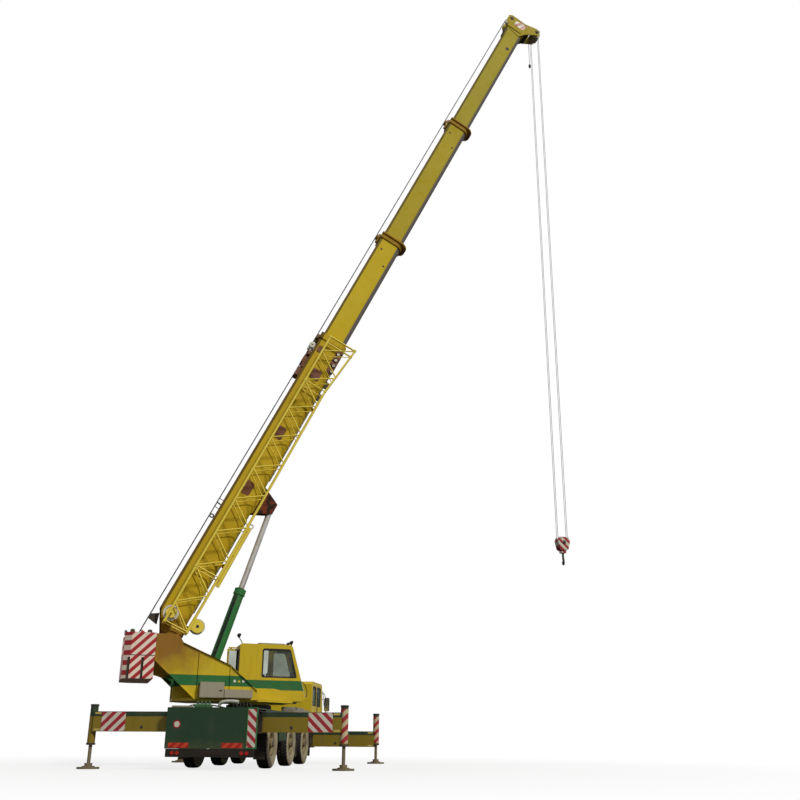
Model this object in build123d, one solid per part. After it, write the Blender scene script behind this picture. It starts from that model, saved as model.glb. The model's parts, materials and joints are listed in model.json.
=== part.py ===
"""Three-axle mobile crane with a four-part telescopic boom, standing on its outriggers.

Lengths are millimetres. Three frames are used:
  carrier         +X forward, +Y left, +Z up, origin on the ground under the rear axle
  superstructure  the same, origin on the slew axis, then turned by SLEW_DEG and moved to SLEW_X
  boom            U along the boom, V square to it (up when the boom lies flat), origin at the foot pin,
                  then raised by LUFF_DEG about that pin
At the end everything moves so that the origin is the middle of the footprint, on the ground.
"""

import os
from math import cos, hypot, radians, sin

from build123d import *

# ---------------------------------------------------------------- carrier sizes
HALF_WIDTH = 1250.0
TYRE_D = 1370.0
TYRE_W = 375.0
RIM_D = 660.0
HUB_D = 270.0
SLEW_X = 1800.0
DECK_Z = 1600.0
DECK_T = 30.0
TAIL_X = -1950.0
REAR_X = TAIL_X - 90.0
AXLE_HALF_H = 90.0
FRAME_HALF = 400.0
FRAME_Z0 = TYRE_D / 2 + AXLE_HALF_H + 25.0
FRAME_Z1 = 1260.0
NOSE_Z1 = 1150.0
FRAME_WALL = 14.0
CHEEK_T = 25.0
ENGINE_X0 = 3780.0
ENGINE_L = 970.0
TANK_X0 = 860.0
TANK_L = 960.0
TANK_IN_Y = 700.0
TANK_Z0 = 720.0
TANK_Z1 = FRAME_Z1 + 70.0
PIN_GAP = 0.3
RUN_GAP = 6.0

# name, distance ahead of the rear axle, steered
AXLES = (
    ("rear", 0.0, True),
    ("middle", 2650.0, False),
    ("front", 4900.0, True),
)
SIDES = (("left", 1), ("right", -1))

# ---------------------------------------------------------------- outriggers
BEAM_W = 300.0
BEAM_WALL = 16.0
JACK_Y = 3500.0
JACK_PARKED_Y = HALF_WIDTH + 130.0
JACK_TOP_Z = 1660.0
JACK_TUBE_D = 210.0
JACK_BORE_D = 150.0
RAM_D = 96.0
FOOT_D = 600.0
FOOT_T = 50.0
SOCKET_H = 100.0
JACK_LIFT = 400.0
BOX_WALL = 25.0
# name, station ahead of the rear axle, side, underside of the beam, its height
OUTRIGGERS = (
    ("rear_left", -1590.0, 1, 975.0, 530.0),
    ("rear_right", -1220.0, -1, 975.0, 530.0),
    ("front_left", 6115.0, 1, 560.0, 530.0),
    ("front_right", 6485.0, -1, 560.0, 530.0),
)

# ---------------------------------------------------------------- driver's cab, on the carrier
CAB_X0 = 6000.0
CAB_X1 = 8250.0
CAB_FLOOR_Z = 1180.0
CAB_ROOF_Z = 2800.0
CAB_HALF = 1210.0
CAB_WALL = 45.0
DOOR_X0 = 6900.0
DOOR_X1 = 7820.0
DOOR_GAP = 6.0
GLASS_T = 8.0
BELT_Z = 1980.0
LINTEL_Z = 2620.0

# ---------------------------------------------------------------- superstructure
SLEW_DEG = -66.0
RING_R = 640.0
RING_Z = 1800.0
PLATE_Z0 = 1870.0
PLATE_Z1 = 1950.0
WEB_Y = 392.0
WEB_T = 40.0
COVER_Y = 1150.0
COVER_T = 40.0
FOOT_X = -2550.0
FOOT_Z = 3550.0
FOOT_PIN_D = 130.0
WEIGHT_X0 = -3950.0
WEIGHT_X1 = -3060.0
WEIGHT_HALF = 1200.0
WEIGHT_Z0 = 2455.0
WEIGHT_Z1 = 3790.0

# crane operator's cab, in the superstructure frame
OP_Y0 = 440.0
OP_Y1 = 1220.0
OP_WALL = 40.0
OP_X0 = -310.0
OP_Z0 = 1965.0
OP_Z1 = 3750.0
OP_ROOF_X = 1400.0
OP_NOSE_X = 1900.0
OP_DOOR_X0 = 60.0
OP_DOOR_W = 760.0
OP_DOOR_OPEN = 640.0
OP_DOOR_T = 36.0

# ---------------------------------------------------------------- boom
LUFF_DEG = 64.7
CORE_V = 380.0
SECTION_WALL = 12.0
# name, outside width, outside height, tail and front end along the boom
SECTIONS = (
    ("boom_base", 740.0, 1000.0, -120.0, 12150.0),
    ("boom_section_2", 680.0, 915.0, 6300.0, 17400.0),
    ("boom_section_3", 620.0, 865.0, 13200.0, 24350.0),
    ("boom_head", 560.0, 815.0, 20600.0, 31250.0),
)
COLLAR_L = 240.0
COLLAR_T = 45.0
FLANGE_T = 60.0
FLANGE_PROUD = 95.0
FLANGE_DROP = 190.0
PAD_L = 180.0
TAIL_SLOPE_U = 900.0
TAIL_SLOPE_V = 300.0
HEAD_REACH = 470.0
HEAD_U = SECTIONS[3][4] + HEAD_REACH
HEAD_V = -520.0
SHEAVE_R = 220.0
GROOVE_DEPTH = 28.0
ROPE_D = 17.0
BLOCK_Z = 7880.0
HOOK_DROP = 700.0

# lift cylinder
LIFT_X = -1400.0
LIFT_Z = 2350.0
LIFT_U = 5450.0
LIFT_V = -630.0
BARREL_D = 330.0
BARREL_L = 3200.0
NECK_L = 330.0
ROD_D = 190.0
ROD_HELD = 850.0
EYE_D = 200.0
EYE_W = 200.0

# folded lattice jib on the right of the boom
JIB_Y0 = -490.0
JIB_Y1 = -1010.0
JIB_V = 170.0
JIB_U0 = 450.0
JIB_U1 = 11800.0
JIB_CHORD = 64.0
JIB_LACE = 36.0
JIB_SLEEVE = 88.0
JIB_SLEEVE_L = 60.0
JIB_BAYS = 12
JIB_HALF = 400.0
JIB_TIP_HALF = 380.0
JIB_FLARE = 210.0
JIB_TIP_L = 1900.0
JIB_BUTT_L = 2000.0
LACE_STEP = 60.0


# ---------------------------------------------------------------- shapes
def block(x0, x1, y0, y1, z0, z1):
    """A box between two corners."""
    size = (abs(x1 - x0), abs(y1 - y0), abs(z1 - z0))
    middle = ((x0 + x1) / 2, (y0 + y1) / 2, (z0 + z1) / 2)
    return Pos(*middle) * Box(*size)


def side_slab(points, y0, y1):
    """A plate cut to an outline of X and Z, from y0 to y1."""
    low, high = min(y0, y1), max(y0, y1)
    line = Polyline([(x, low, z) for x, z in points], close=True)
    return extrude(make_face(line), amount=high - low, dir=(0, 1, 0))


def cross_slab(points, x0, x1):
    """A plate cut to an outline of Y and Z, from x0 to x1."""
    line = Polyline([(x0, y, z) for y, z in points], close=True)
    return extrude(make_face(line), amount=x1 - x0, dir=(1, 0, 0))


def flat_slab(points, z0, z1):
    """A plate cut to an outline of X and Y, from z0 to z1."""
    line = Polyline([(x, y, z0) for x, y in points], close=True)
    return extrude(make_face(line), amount=z1 - z0, dir=(0, 0, 1))


def rod(start, end, radius):
    """A round bar between two points."""
    a, b = Vector(*start), Vector(*end)
    along = b - a
    return extrude(Plane(origin=a, z_dir=along) * Circle(radius), amount=along.length)


def bar(start, end, size):
    """A square bar between two points."""
    a, b = Vector(*start), Vector(*end)
    along = b - a
    return extrude(Plane(origin=a, z_dir=along) * Rectangle(size, size), amount=along.length)


def cross_pin(x, z, y0, y1, radius):
    """A round bar across the machine, parallel to Y."""
    return rod((x, min(y0, y1), z), (x, max(y0, y1), z), radius)


def post(x, y, z0, z1, radius):
    """An upright round bar."""
    return rod((x, y, z0), (x, y, z1), radius)


def turned(profile, centre):
    """A body turned about an axis parallel to Y from pairs of radius and distance along it."""
    line = Polyline([(r, y, 0) for r, y in profile], close=True)
    return Pos(*centre) * revolve(make_face(line), axis=Axis.Y, revolution_arc=360)


def joined(*shapes):
    """One shape from several that touch or overlap."""
    first, *rest = shapes
    return first.fuse(*rest)


def beam_section(width, height, top_r, under_r, u0, u1):
    """A solid of the boom's cross section: flat top, generously rounded underside."""
    sketch = Plane(origin=(u0, 0, CORE_V), x_dir=(0, 1, 0), z_dir=(1, 0, 0)) * Rectangle(width, height)
    solid = extrude(sketch, amount=u1 - u0)
    lengthwise = solid.edges().filter_by(Axis.X)
    under = lengthwise.filter_by(lambda e: e.center().Z < CORE_V)
    solid = fillet(under, under_r)
    top = solid.edges().filter_by(Axis.X).filter_by(lambda e: e.center().Z > CORE_V + 0.4 * height)
    return fillet(top, top_r)


# ---------------------------------------------------------------- placing
def on_superstructure(shape):
    return Pos(SLEW_X, 0, 0) * Rot(0, 0, SLEW_DEG) * shape


def on_boom(shape):
    return on_superstructure(Pos(FOOT_X, 0, FOOT_Z) * Rot(0, -LUFF_DEG, 0) * shape)


def boom_to_super(u, v):
    """A point of the boom's middle plane, as X and Z of the superstructure."""
    c, s = cos(radians(LUFF_DEG)), sin(radians(LUFF_DEG))
    return FOOT_X + u * c - v * s, FOOT_Z + u * s + v * c


parts = {}


# ---------------------------------------------------------------- carrier frame
NOSE_X = CAB_X1 - 150.0


def chassis_frame():
    """Box girder, slew ring carrier and the four outrigger tunnels."""
    step_x = CAB_X0 - 90
    wall = FRAME_WALL
    outer = block(TAIL_X, step_x, -FRAME_HALF, FRAME_HALF, FRAME_Z0, FRAME_Z1)
    outer += block(step_x, NOSE_X, -FRAME_HALF, FRAME_HALF, FRAME_Z0, NOSE_Z1)
    inside = FRAME_HALF - wall
    outer -= block(TAIL_X + wall, step_x - wall, -inside, inside, FRAME_Z0 + wall, FRAME_Z1 - wall)
    outer -= block(step_x + wall, NOSE_X - wall, -inside, inside, FRAME_Z0 + wall, NOSE_Z1 - wall)
    ring = post(SLEW_X, 0, FRAME_Z1 - FRAME_WALL, RING_Z - PIN_GAP, RING_R + 60)
    ring -= post(SLEW_X, 0, FRAME_Z1 - FRAME_WALL - 1, RING_Z, RING_R - 90)
    body = outer + ring
    for pair in (OUTRIGGERS[:2], OUTRIGGERS[2:]):
        stations = [row[1] for row in pair]
        z0, height = pair[0][3], pair[0][4]
        reach = BEAM_W / 2 + RUN_GAP
        body += block(
            min(stations) - reach - BOX_WALL,
            max(stations) + reach + BOX_WALL,
            -HALF_WIDTH + 5,
            HALF_WIDTH - 5,
            z0 - RUN_GAP - BOX_WALL,
            z0 + height + RUN_GAP + BOX_WALL,
        )
    for name, x, side, z0, height in OUTRIGGERS:
        reach = BEAM_W / 2 + RUN_GAP
        body -= block(
            x - reach, x + reach, -HALF_WIDTH, HALF_WIDTH, z0 - PIN_GAP, z0 + height + RUN_GAP
        )
    return body


parts["chassis_frame"] = chassis_frame()


def deck():
    """Deck plate with its side skirts, and the upright plates that carry it on the frame."""
    x0, x1 = TAIL_X, CAB_X0 - 80
    plate = block(x0, x1, -HALF_WIDTH, HALF_WIDTH, DECK_Z - DECK_T, DECK_Z)
    plate -= post(SLEW_X, 0, DECK_Z - DECK_T - 1, DECK_Z + 1, RING_R + 80)
    skirt_z0 = TYRE_D + 40
    skirt_x0 = OUTRIGGERS[1][1] + BEAM_W / 2 + RUN_GAP + BOX_WALL + 15
    for side in (1, -1):
        outer, inner = side * HALF_WIDTH, side * (HALF_WIDTH - DECK_T)
        plate += block(skirt_x0, x1, inner, outer, skirt_z0, DECK_Z)
    box_top = OUTRIGGERS[0][3] + OUTRIGGERS[0][4] + RUN_GAP + BOX_WALL
    stands = ((OUTRIGGERS[0][1], box_top), (TANK_X0 + 140, FRAME_Z1), (ENGINE_X0 - 80, FRAME_Z1), (x1 - 220, FRAME_Z1))
    for x, base in stands:
        plate += block(x - 15, x + 15, -FRAME_HALF, FRAME_HALF, base, DECK_Z)
    return plate


parts["deck"] = deck()


# rear end: marked board, corner post and bumper
PANEL_Z0 = 545.0
PANEL_Z1 = DECK_Z + 10.0
PANEL_RIGHT_Y = -970.0
CORNER_W = 275.0
RIM_FOLD = 40.0


def rear_panel():
    """Upright board across the tail with a folded rim and two brackets to the frame."""
    y0, y1 = PANEL_RIGHT_Y, HALF_WIDTH
    z0, z1 = PANEL_Z0, PANEL_Z1
    fold_x = TAIL_X - 2.0
    board = block(REAR_X, REAR_X + CHEEK_T, y0, y1, z0, z1)
    for a, b, c, d in ((y0, y1, z1 - RIM_FOLD, z1), (y0, y1, z0, z0 + RIM_FOLD), (y1 - CHEEK_T, y1, z0, z1)):
        board += block(REAR_X, fold_x, a, b, c, d)
    corner_y = -HALF_WIDTH - 10.0
    corner_in = corner_y + CORNER_W
    corner = block(REAR_X, REAR_X + 60, corner_y, corner_in, z0, z1)
    corner -= block(REAR_X - 1, REAR_X + 40, corner_y + 35, corner_in - 35, z0 + 35, z1 - 35)
    tie = block(REAR_X + 20, REAR_X + 60, corner_in - 15, y0 + 10, z0 + 200, z1 - 200)
    bracket_y = FRAME_HALF - 100.0
    brackets = [
        block(REAR_X + CHEEK_T, TAIL_X, side * bracket_y - 40, side * bracket_y + 40, FRAME_Z0, FRAME_Z1 - 60)
        for side in (1, -1)
    ]
    return joined(board, corner, tie, *brackets)


BUMPER_Z0 = 330.0
BUMPER_Z1 = PANEL_Z0 - 5.0
BUMPER_D = 120.0
BUMPER_HALF = HALF_WIDTH - 40.0


def rear_bumper():
    """Channel under the board, hung from the frame's tail by two slanted plates."""
    x0 = REAR_X - 10.0
    x1 = x0 + BUMPER_D
    channel = block(x0, x1, -BUMPER_HALF, BUMPER_HALF, BUMPER_Z0, BUMPER_Z1)
    channel -= block(x0 + 40, x1 + 1, -BUMPER_HALF - 1, BUMPER_HALF + 1, BUMPER_Z0 + 40, BUMPER_Z1 - 40)
    foot_z = BUMPER_Z1 - 60.0
    hanger = ((x1 - 18, foot_z), (x1, foot_z), (TAIL_X + 100, FRAME_Z0), (TAIL_X + 4, FRAME_Z0))
    hanger_y = FRAME_HALF - 70.0
    hangers = [side_slab(hanger, side * hanger_y - 25, side * hanger_y + 25) for side in (1, -1)]
    return joined(channel, *hangers)


parts["rear_panel"] = rear_panel()
parts["rear_bumper"] = rear_bumper()


def cylinder_x(x0, x1, y, z, radius):
    """A round bar parallel to X."""
    return rod((x0, y, z), (x1, y, z), radius)


def rear_lenses():
    """Round tail lamps on the bumper's face, two a side."""
    z = (BUMPER_Z0 + BUMPER_Z1) / 2
    outer_y = BUMPER_HALF - 190.0
    return [
        cylinder_x(REAR_X - 35, REAR_X - 10, side * (outer_y - k * 140), z, 50) for side in (1, -1) for k in (0, 1)
    ]


# ---------------------------------------------------------------- axles, knuckles and wheels
WHEEL_Y = HALF_WIDTH - TYRE_W / 2
KING_Y = 800.0
KING_D = 90.0
HUB_FACE_Y = 930.0
STEER_DEG = 28.0


BANJO_R = 210.0
FORK_Z = 150.0
FORK_T = 40.0


def axle_beams():
    """One banjo axle a station, with forks or flanges at its ends and stays up to the frame."""
    beams = []
    for name, x, steered in AXLES:
        z = TYRE_D / 2
        end = KING_Y - 75 if steered else HUB_FACE_Y - PIN_GAP
        beam = rod((x, -end, z), (x, end, z), AXLE_HALF_H)
        middle = Pos(x, 0, z) * Sphere(BANJO_R)
        beam += middle - block(x - BANJO_R, x + BANJO_R, -BANJO_R, BANJO_R, FRAME_Z0 - 90, FRAME_Z1)
        if steered:
            for side in (1, -1):
                beam += block(x - 80, x + 80, side * end, side * (end - 60), z - FORK_Z, z + FORK_Z)
                for low in (z + FORK_Z - FORK_T, z - FORK_Z):
                    beam += block(x - 60, x + 60, side * (end - 30), side * (KING_Y + 60), low, low + FORK_T)
                beam += post(x, side * KING_Y, z - FORK_Z, z + FORK_Z, KING_D / 2)
        for side in (1, -1):
            beam += block(x - 70, x + 70, side * (FRAME_HALF - 150), side * (FRAME_HALF - 60), z, FRAME_Z0)
        beams.append(beam)
    return Compound(children=beams)


parts["axles"] = axle_beams()


def knuckle(x, side):
    """Steering knuckle between the axle's fork arms, with the spindle that carries the hub."""
    z = TYRE_D / 2
    y = side * KING_Y
    reach = FORK_Z - FORK_T - 1.0
    body = post(x, y, z - reach, z + reach, 72)
    spindle = rod((x, y, z), (x, side * (HUB_FACE_Y - PIN_GAP), z), 60)
    arm = block(x - 190, x, y - 20, y + 20, z - 60, z - 20)
    body = joined(body, spindle, arm)
    return body - post(x, y, z - FORK_Z, z + FORK_Z, KING_D / 2 + PIN_GAP)


def tyre(x, side):
    """Tyre with rounded shoulders, on a seat for its rim."""
    half = TYRE_W / 2
    tread_r = TYRE_D / 2
    bead_r = RIM_D / 2 + PIN_GAP
    profile = (
        (bead_r, -half + 45),
        (bead_r + 60, -half + 12),
        (tread_r - 150, -half),
        (tread_r - 55, -half + 14),
        (tread_r, -half + 55),
        (tread_r, half - 55),
        (tread_r - 55, half - 14),
        (tread_r - 150, half),
        (bead_r + 60, half - 12),
        (bead_r, half - 45),
    )
    return turned(profile, (x, side * WHEEL_Y, TYRE_D / 2))


def rim(x, side):
    """Dished steel rim with its hub drum and a ring of vent holes."""
    half = TYRE_W / 2
    r = RIM_D / 2
    hub_in = HUB_FACE_Y - WHEEL_Y
    profile = (
        (0, hub_in),
        (HUB_D / 2 + 60, hub_in),
        (HUB_D / 2 + 60, -10),
        (r - 60, 20),
        (r - 60, -half + 60),
        (r - 34, -half + 46),
        (r, -half + 46),
        (r, half - 46),
        (r - 34, half - 46),
        (r - 60, half - 70),
        (r - 100, 60),
        (HUB_D / 2, 40),
        (HUB_D / 2, half - 20),
        (HUB_D / 2 - 40, half - 4),
        (0, half - 4),
    )
    body = turned(profile, (0, 0, 0))
    for k in range(8):
        angle = radians(45 * k + 22.5)
        cx, cz = 225 * cos(angle), 225 * sin(angle)
        body -= cross_pin(cx, cz, -20, 90, 26)
    if side < 0:
        body = Rot(0, 0, 180) * body
    return Pos(x, side * WHEEL_Y, TYRE_D / 2) * body


for axle_name, axle_x, axle_steered in AXLES:
    for side_name, side_sign in SIDES:
        key = axle_name + "_" + side_name
        if axle_steered:
            parts["knuckle_" + key] = knuckle(axle_x, side_sign)
        parts["tyre_" + key] = tyre(axle_x, side_sign)
        parts["rim_" + key] = rim(axle_x, side_sign)


# ---------------------------------------------------------------- outriggers
def outrigger_beam(x, side, z0, height):
    """Sliding box beam, closed at its outer end by the jack tube."""
    parked_inner = -side * (HALF_WIDTH - 10)
    inner = parked_inner + side * (JACK_Y - JACK_PARKED_Y)
    outer = side * (JACK_Y - 60)
    half = BEAM_W / 2
    body = block(x - half, x + half, inner, outer, z0, z0 + height)
    body -= block(
        x - half + BEAM_WALL,
        x + half - BEAM_WALL,
        inner - side * 1,
        outer - side * 100,
        z0 + BEAM_WALL,
        z0 + height - BEAM_WALL,
    )
    jack_y = side * JACK_Y
    tube_z0 = FOOT_T + 150 + JACK_LIFT + 20
    tube = post(x, jack_y, tube_z0, JACK_TOP_Z, JACK_TUBE_D / 2)
    body += tube
    body -= post(x, jack_y, tube_z0 + 90, JACK_TOP_Z - 40, JACK_BORE_D / 2)
    return body - post(x, jack_y, tube_z0 - 1, tube_z0 + 91, RAM_D / 2 + PIN_GAP)


def outrigger_jack(x, side):
    """Ram with its swivel socket and round foot plate."""
    y = side * JACK_Y
    ram_top = JACK_TOP_Z - 60 - JACK_LIFT
    ram = post(x, y, FOOT_T + 20, ram_top, RAM_D / 2)
    socket = post(x, y, FOOT_T, FOOT_T + SOCKET_H, 105)
    plate = post(x, y, 0, FOOT_T, FOOT_D / 2)
    plate += post(x, y, FOOT_T, FOOT_T + 25, 170)
    return joined(plate, socket, ram)


for out_name, out_x, out_side, out_z, out_h in OUTRIGGERS:
    parts["beam_" + out_name] = outrigger_beam(out_x, out_side, out_z, out_h)
    parts["jack_" + out_name] = outrigger_jack(out_x, out_side)


# ---------------------------------------------------------------- carrier's heavy and side pieces


def engine():
    """Carrier engine with its gearbox, a plain block between the frame and the deck."""
    half = FRAME_HALF - 20.0
    return block(ENGINE_X0, ENGINE_X0 + ENGINE_L, -half, half, FRAME_Z1, DECK_Z - DECK_T)


def side_tanks():
    """Fuel tank on the right and tool locker on the left, between the first two axles."""
    made = []
    for side in (1, -1):
        box = block(TANK_X0, TANK_X0 + TANK_L, side * (HALF_WIDTH - 20), side * TANK_IN_Y, TANK_Z0, TANK_Z1)
        box = fillet(box.edges().filter_by(Axis.X), 60)
        for x in (TANK_X0 + 140, TANK_X0 + TANK_L - 140):
            box += block(x - 30, x + 30, side * TANK_IN_Y, side * FRAME_HALF, FRAME_Z1 - 160, FRAME_Z1 - 60)
        made.append(box)
    return Compound(children=made)


parts["engine"] = engine()
parts["side_tanks"] = side_tanks()


# ---------------------------------------------------------------- driver's cab
CAB_SIDE = (
    (CAB_X0, CAB_FLOOR_Z),
    (CAB_X0, CAB_ROOF_Z - 90),
    (CAB_X0 + 90, CAB_ROOF_Z),
    (CAB_X1 - 330, CAB_ROOF_Z),
    (CAB_X1 - 190, CAB_ROOF_Z - 90),
    (CAB_X1, BELT_Z - 40),
    (CAB_X1, CAB_FLOOR_Z),
)


def inset(points, by):
    """The outline drawn that much further in, corner by corner."""
    line = make_face(Polyline([(x, z) for x, z in points], close=True))
    inner = offset(line, amount=-by, kind=Kind.INTERSECTION).face().outer_wire()
    starts = [edge.position_at(0) for edge in inner.order_edges()]
    return [(point.X, point.Y) for point in starts]


def window(x0, x1, z0, z1, side):
    return block(x0, x1, side * (CAB_HALF - CAB_WALL - 5), side * (CAB_HALF + 5), z0, z1)


def driver_cab():
    """Hollow sheet cab across the carrier's nose, with its doorways and windows cut."""
    shell = side_slab(CAB_SIDE, -CAB_HALF, CAB_HALF)
    inner = inset(CAB_SIDE, CAB_WALL)
    shell -= side_slab(inner, -CAB_HALF + CAB_WALL, CAB_HALF - CAB_WALL)
    for side in (1, -1):
        shell -= window(DOOR_X0, DOOR_X1, CAB_FLOOR_Z + 60, LINTEL_Z + 60, side)
        shell -= window(CAB_X0 + 180, DOOR_X0 - 130, BELT_Z, LINTEL_Z, side)
    front = cross_slab(
        ((-1080, BELT_Z + 20), (1080, BELT_Z + 20), (1000, LINTEL_Z), (-1000, LINTEL_Z)), CAB_X1 - 420, CAB_X1 + 10
    )
    shell -= front
    shell -= block(CAB_X0 - 5, CAB_X0 + CAB_WALL + 5, -650, 650, BELT_Z + 60, LINTEL_Z - 40)
    feet = [
        block(x - 50, x + 50, side * 300 - 50, side * 300 + 50, NOSE_Z1, CAB_FLOOR_Z + 5)
        for x in (CAB_X0 + 900, CAB_X1 - 300)
        for side in (1, -1)
    ]
    return joined(shell, *feet)


parts["driver_cab"] = driver_cab()


def driver_glass():
    """Windscreen, rear and quarter panes, each seated in its opening."""
    panes = []
    run_x = CAB_X1 - (CAB_X1 - 190)
    slope = run_x / (CAB_ROOF_Z - 90 - (BELT_Z - 40))

    def front_x(z):
        return CAB_X1 - (z - (BELT_Z - 40)) * slope

    z0, z1 = BELT_Z + 20 + PIN_GAP, LINTEL_Z - PIN_GAP
    lean = ((front_x(z0) - 25, z0), (front_x(z1) - 25, z1), (front_x(z1) - 25 + GLASS_T, z1), (front_x(z0) - 25 + GLASS_T, z0))
    screen = side_slab(lean, -1080, 1080)
    for side in (1, -1):
        screen -= cross_slab(
            ((side * (1080 - PIN_GAP), z0 - 1), (side * 1200, z0 - 1), (side * 1200, z1 + 1), (side * (1000 - PIN_GAP), z1 + 1)),
            CAB_X1 - 500,
            CAB_X1 + 50,
        )
    panes.append(screen)
    panes.append(
        block(CAB_X0 + 18, CAB_X0 + 18 + GLASS_T, -650 + PIN_GAP, 650 - PIN_GAP, BELT_Z + 60 + PIN_GAP, LINTEL_Z - 40 - PIN_GAP)
    )
    for side in (1, -1):
        y = side * (CAB_HALF - 24)
        panes.append(
            block(CAB_X0 + 180 + PIN_GAP, DOOR_X0 - 130 - PIN_GAP, y, y + side * GLASS_T, BELT_Z + PIN_GAP, LINTEL_Z - PIN_GAP)
        )
    return Compound(children=panes)


parts["driver_glass"] = driver_glass()


def driver_seats():
    """Two seats on pedestals, the dash and the steering wheel on its column."""
    floor = CAB_FLOOR_Z + CAB_WALL + PIN_GAP
    made = []
    for y in (620, -620):
        base = block(6700, 7060, y - 180, y + 180, floor, floor + 330)
        cushion = block(6640, 7160, y - 250, y + 250, floor + 330, floor + 450)
        back = side_slab(
            ((6640, floor + 430), (6760, floor + 430), (6650, floor + 1080), (6560, floor + 1080)), y - 240, y + 240
        )
        made.append(joined(base, cushion, back))
    dash = side_slab(
        (
            (7750, floor),
            (8180, floor),
            (8180, floor + 640),
            (8060, floor + 700),
            (7840, floor + 640),
            (7800, floor + 420),
        ),
        -1120,
        1120,
    )
    wheel = Pos(7660, 620, floor + 800) * Rot(0, -35, 0) * Torus(210, 16)
    spoke = Pos(7660, 620, floor + 800) * Rot(0, -35, 0) * Box(400, 50, 14)
    column = rod((7660, 620, floor + 800), (7900, 620, floor + 460), 30)
    made.append(joined(dash, column, spoke, wheel))
    return Compound(children=made)


parts["driver_seats"] = driver_seats()


def driver_door(side):
    """Door leaf as thick as the cab wall, its window cut, with two hinge knuckles."""
    y0, y1 = side * (CAB_HALF - CAB_WALL), side * CAB_HALF
    z0, z1 = CAB_FLOOR_Z + 60 + DOOR_GAP, LINTEL_Z + 60 - DOOR_GAP
    leaf = block(DOOR_X0 + DOOR_GAP, DOOR_X1 - DOOR_GAP, y0, y1, z0, z1)
    leaf -= block(DOOR_X0 + 70, DOOR_X1 - 70, y0 - side * 5, y1 + side * 5, BELT_Z, LINTEL_Z)
    leaf += block(DOOR_X0 + 60, DOOR_X0 + 200, y1, y1 + side * 28, BELT_Z - 120, BELT_Z - 90)
    for z in (z0 + 160, BELT_Z - 150):
        leaf += post(HINGE_X, side * HINGE_Y, z, z + 90, 16)
        leaf += block(DOOR_X1 - 60, DOOR_X1 - DOOR_GAP, y1 - side * 2, y1 + side * 12, z, z + 90)
        leaf += block(DOOR_X1 - DOOR_GAP - 1, HINGE_X, y1 + side * 1, y1 + side * 12, z, z + 90)
    return leaf


HINGE_X = DOOR_X1 + 12.0
HINGE_Y = CAB_HALF + 22.0


def door_pane(side):
    y = side * (CAB_HALF - 26)
    return block(
        DOOR_X0 + 70 + PIN_GAP, DOOR_X1 - 70 - PIN_GAP, y, y + side * GLASS_T, BELT_Z + PIN_GAP, LINTEL_Z - PIN_GAP
    )


def hinge_seats(side):
    """Fixed halves of the door hinges, each just above a moving knuckle."""
    z0 = CAB_FLOOR_Z + 60 + DOOR_GAP
    made = []
    for z in (z0 + 160, BELT_Z - 150):
        seat = post(HINGE_X, side * HINGE_Y, z + 90 + PIN_GAP, z + 150, 16)
        seat += block(HINGE_X - 5, HINGE_X + 70, side * (CAB_HALF - 2), side * (CAB_HALF + 12), z + 90 + PIN_GAP, z + 150)
        made.append(seat)
    return made


for side_name, side_sign in SIDES:
    parts["driver_door_" + side_name] = driver_door(side_sign)
    parts["driver_door_pane_" + side_name] = door_pane(side_sign)
    for seat in hinge_seats(side_sign):
        parts["driver_cab"] += seat


def nose():
    """Front bumper with its two headlamps, closed down to the frame, and the cab's mounts."""
    bumper = block(CAB_X1 - 40, CAB_X1 + 130, -HALF_WIDTH + 20, HALF_WIDTH - 20, 560, 1000)
    bumper = fillet(bumper.edges().filter_by(Axis.Z).filter_by(lambda e: e.center().X > CAB_X1 + 100), 90)
    bumper += block(CAB_X1 - 150, CAB_X1 - 40, -FRAME_HALF, FRAME_HALF, FRAME_Z0, 1000)
    for side in (1, -1):
        lamp = cylinder_x(CAB_X1 + 60, CAB_X1 + 131, side * 900, 800, 105)
        bumper -= lamp
    return bumper


parts["front_bumper"] = nose()
head_lenses = [cylinder_x(CAB_X1 + 60, CAB_X1 + 120, side * 900, 800, 105 - PIN_GAP) for side in (1, -1)]
parts["lamps"] = Compound(children=[*rear_lenses(), *head_lenses])


# ---------------------------------------------------------------- superstructure frame
TAIL_WALL_X = WEIGHT_X1 + PIN_GAP
TAIL_WALL_Z0 = 2700.0
BED_TAIL_X = -2400.0
BED_NOSE_X = 1300.0
COVER_TOE_X = -1830.0
COVER_TOP_Z = 3780.0
COVER_HEEL_Z = 2980.0
COVER_Z0 = 1905.0
COVER_FRONT_Z = 2200.0


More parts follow.
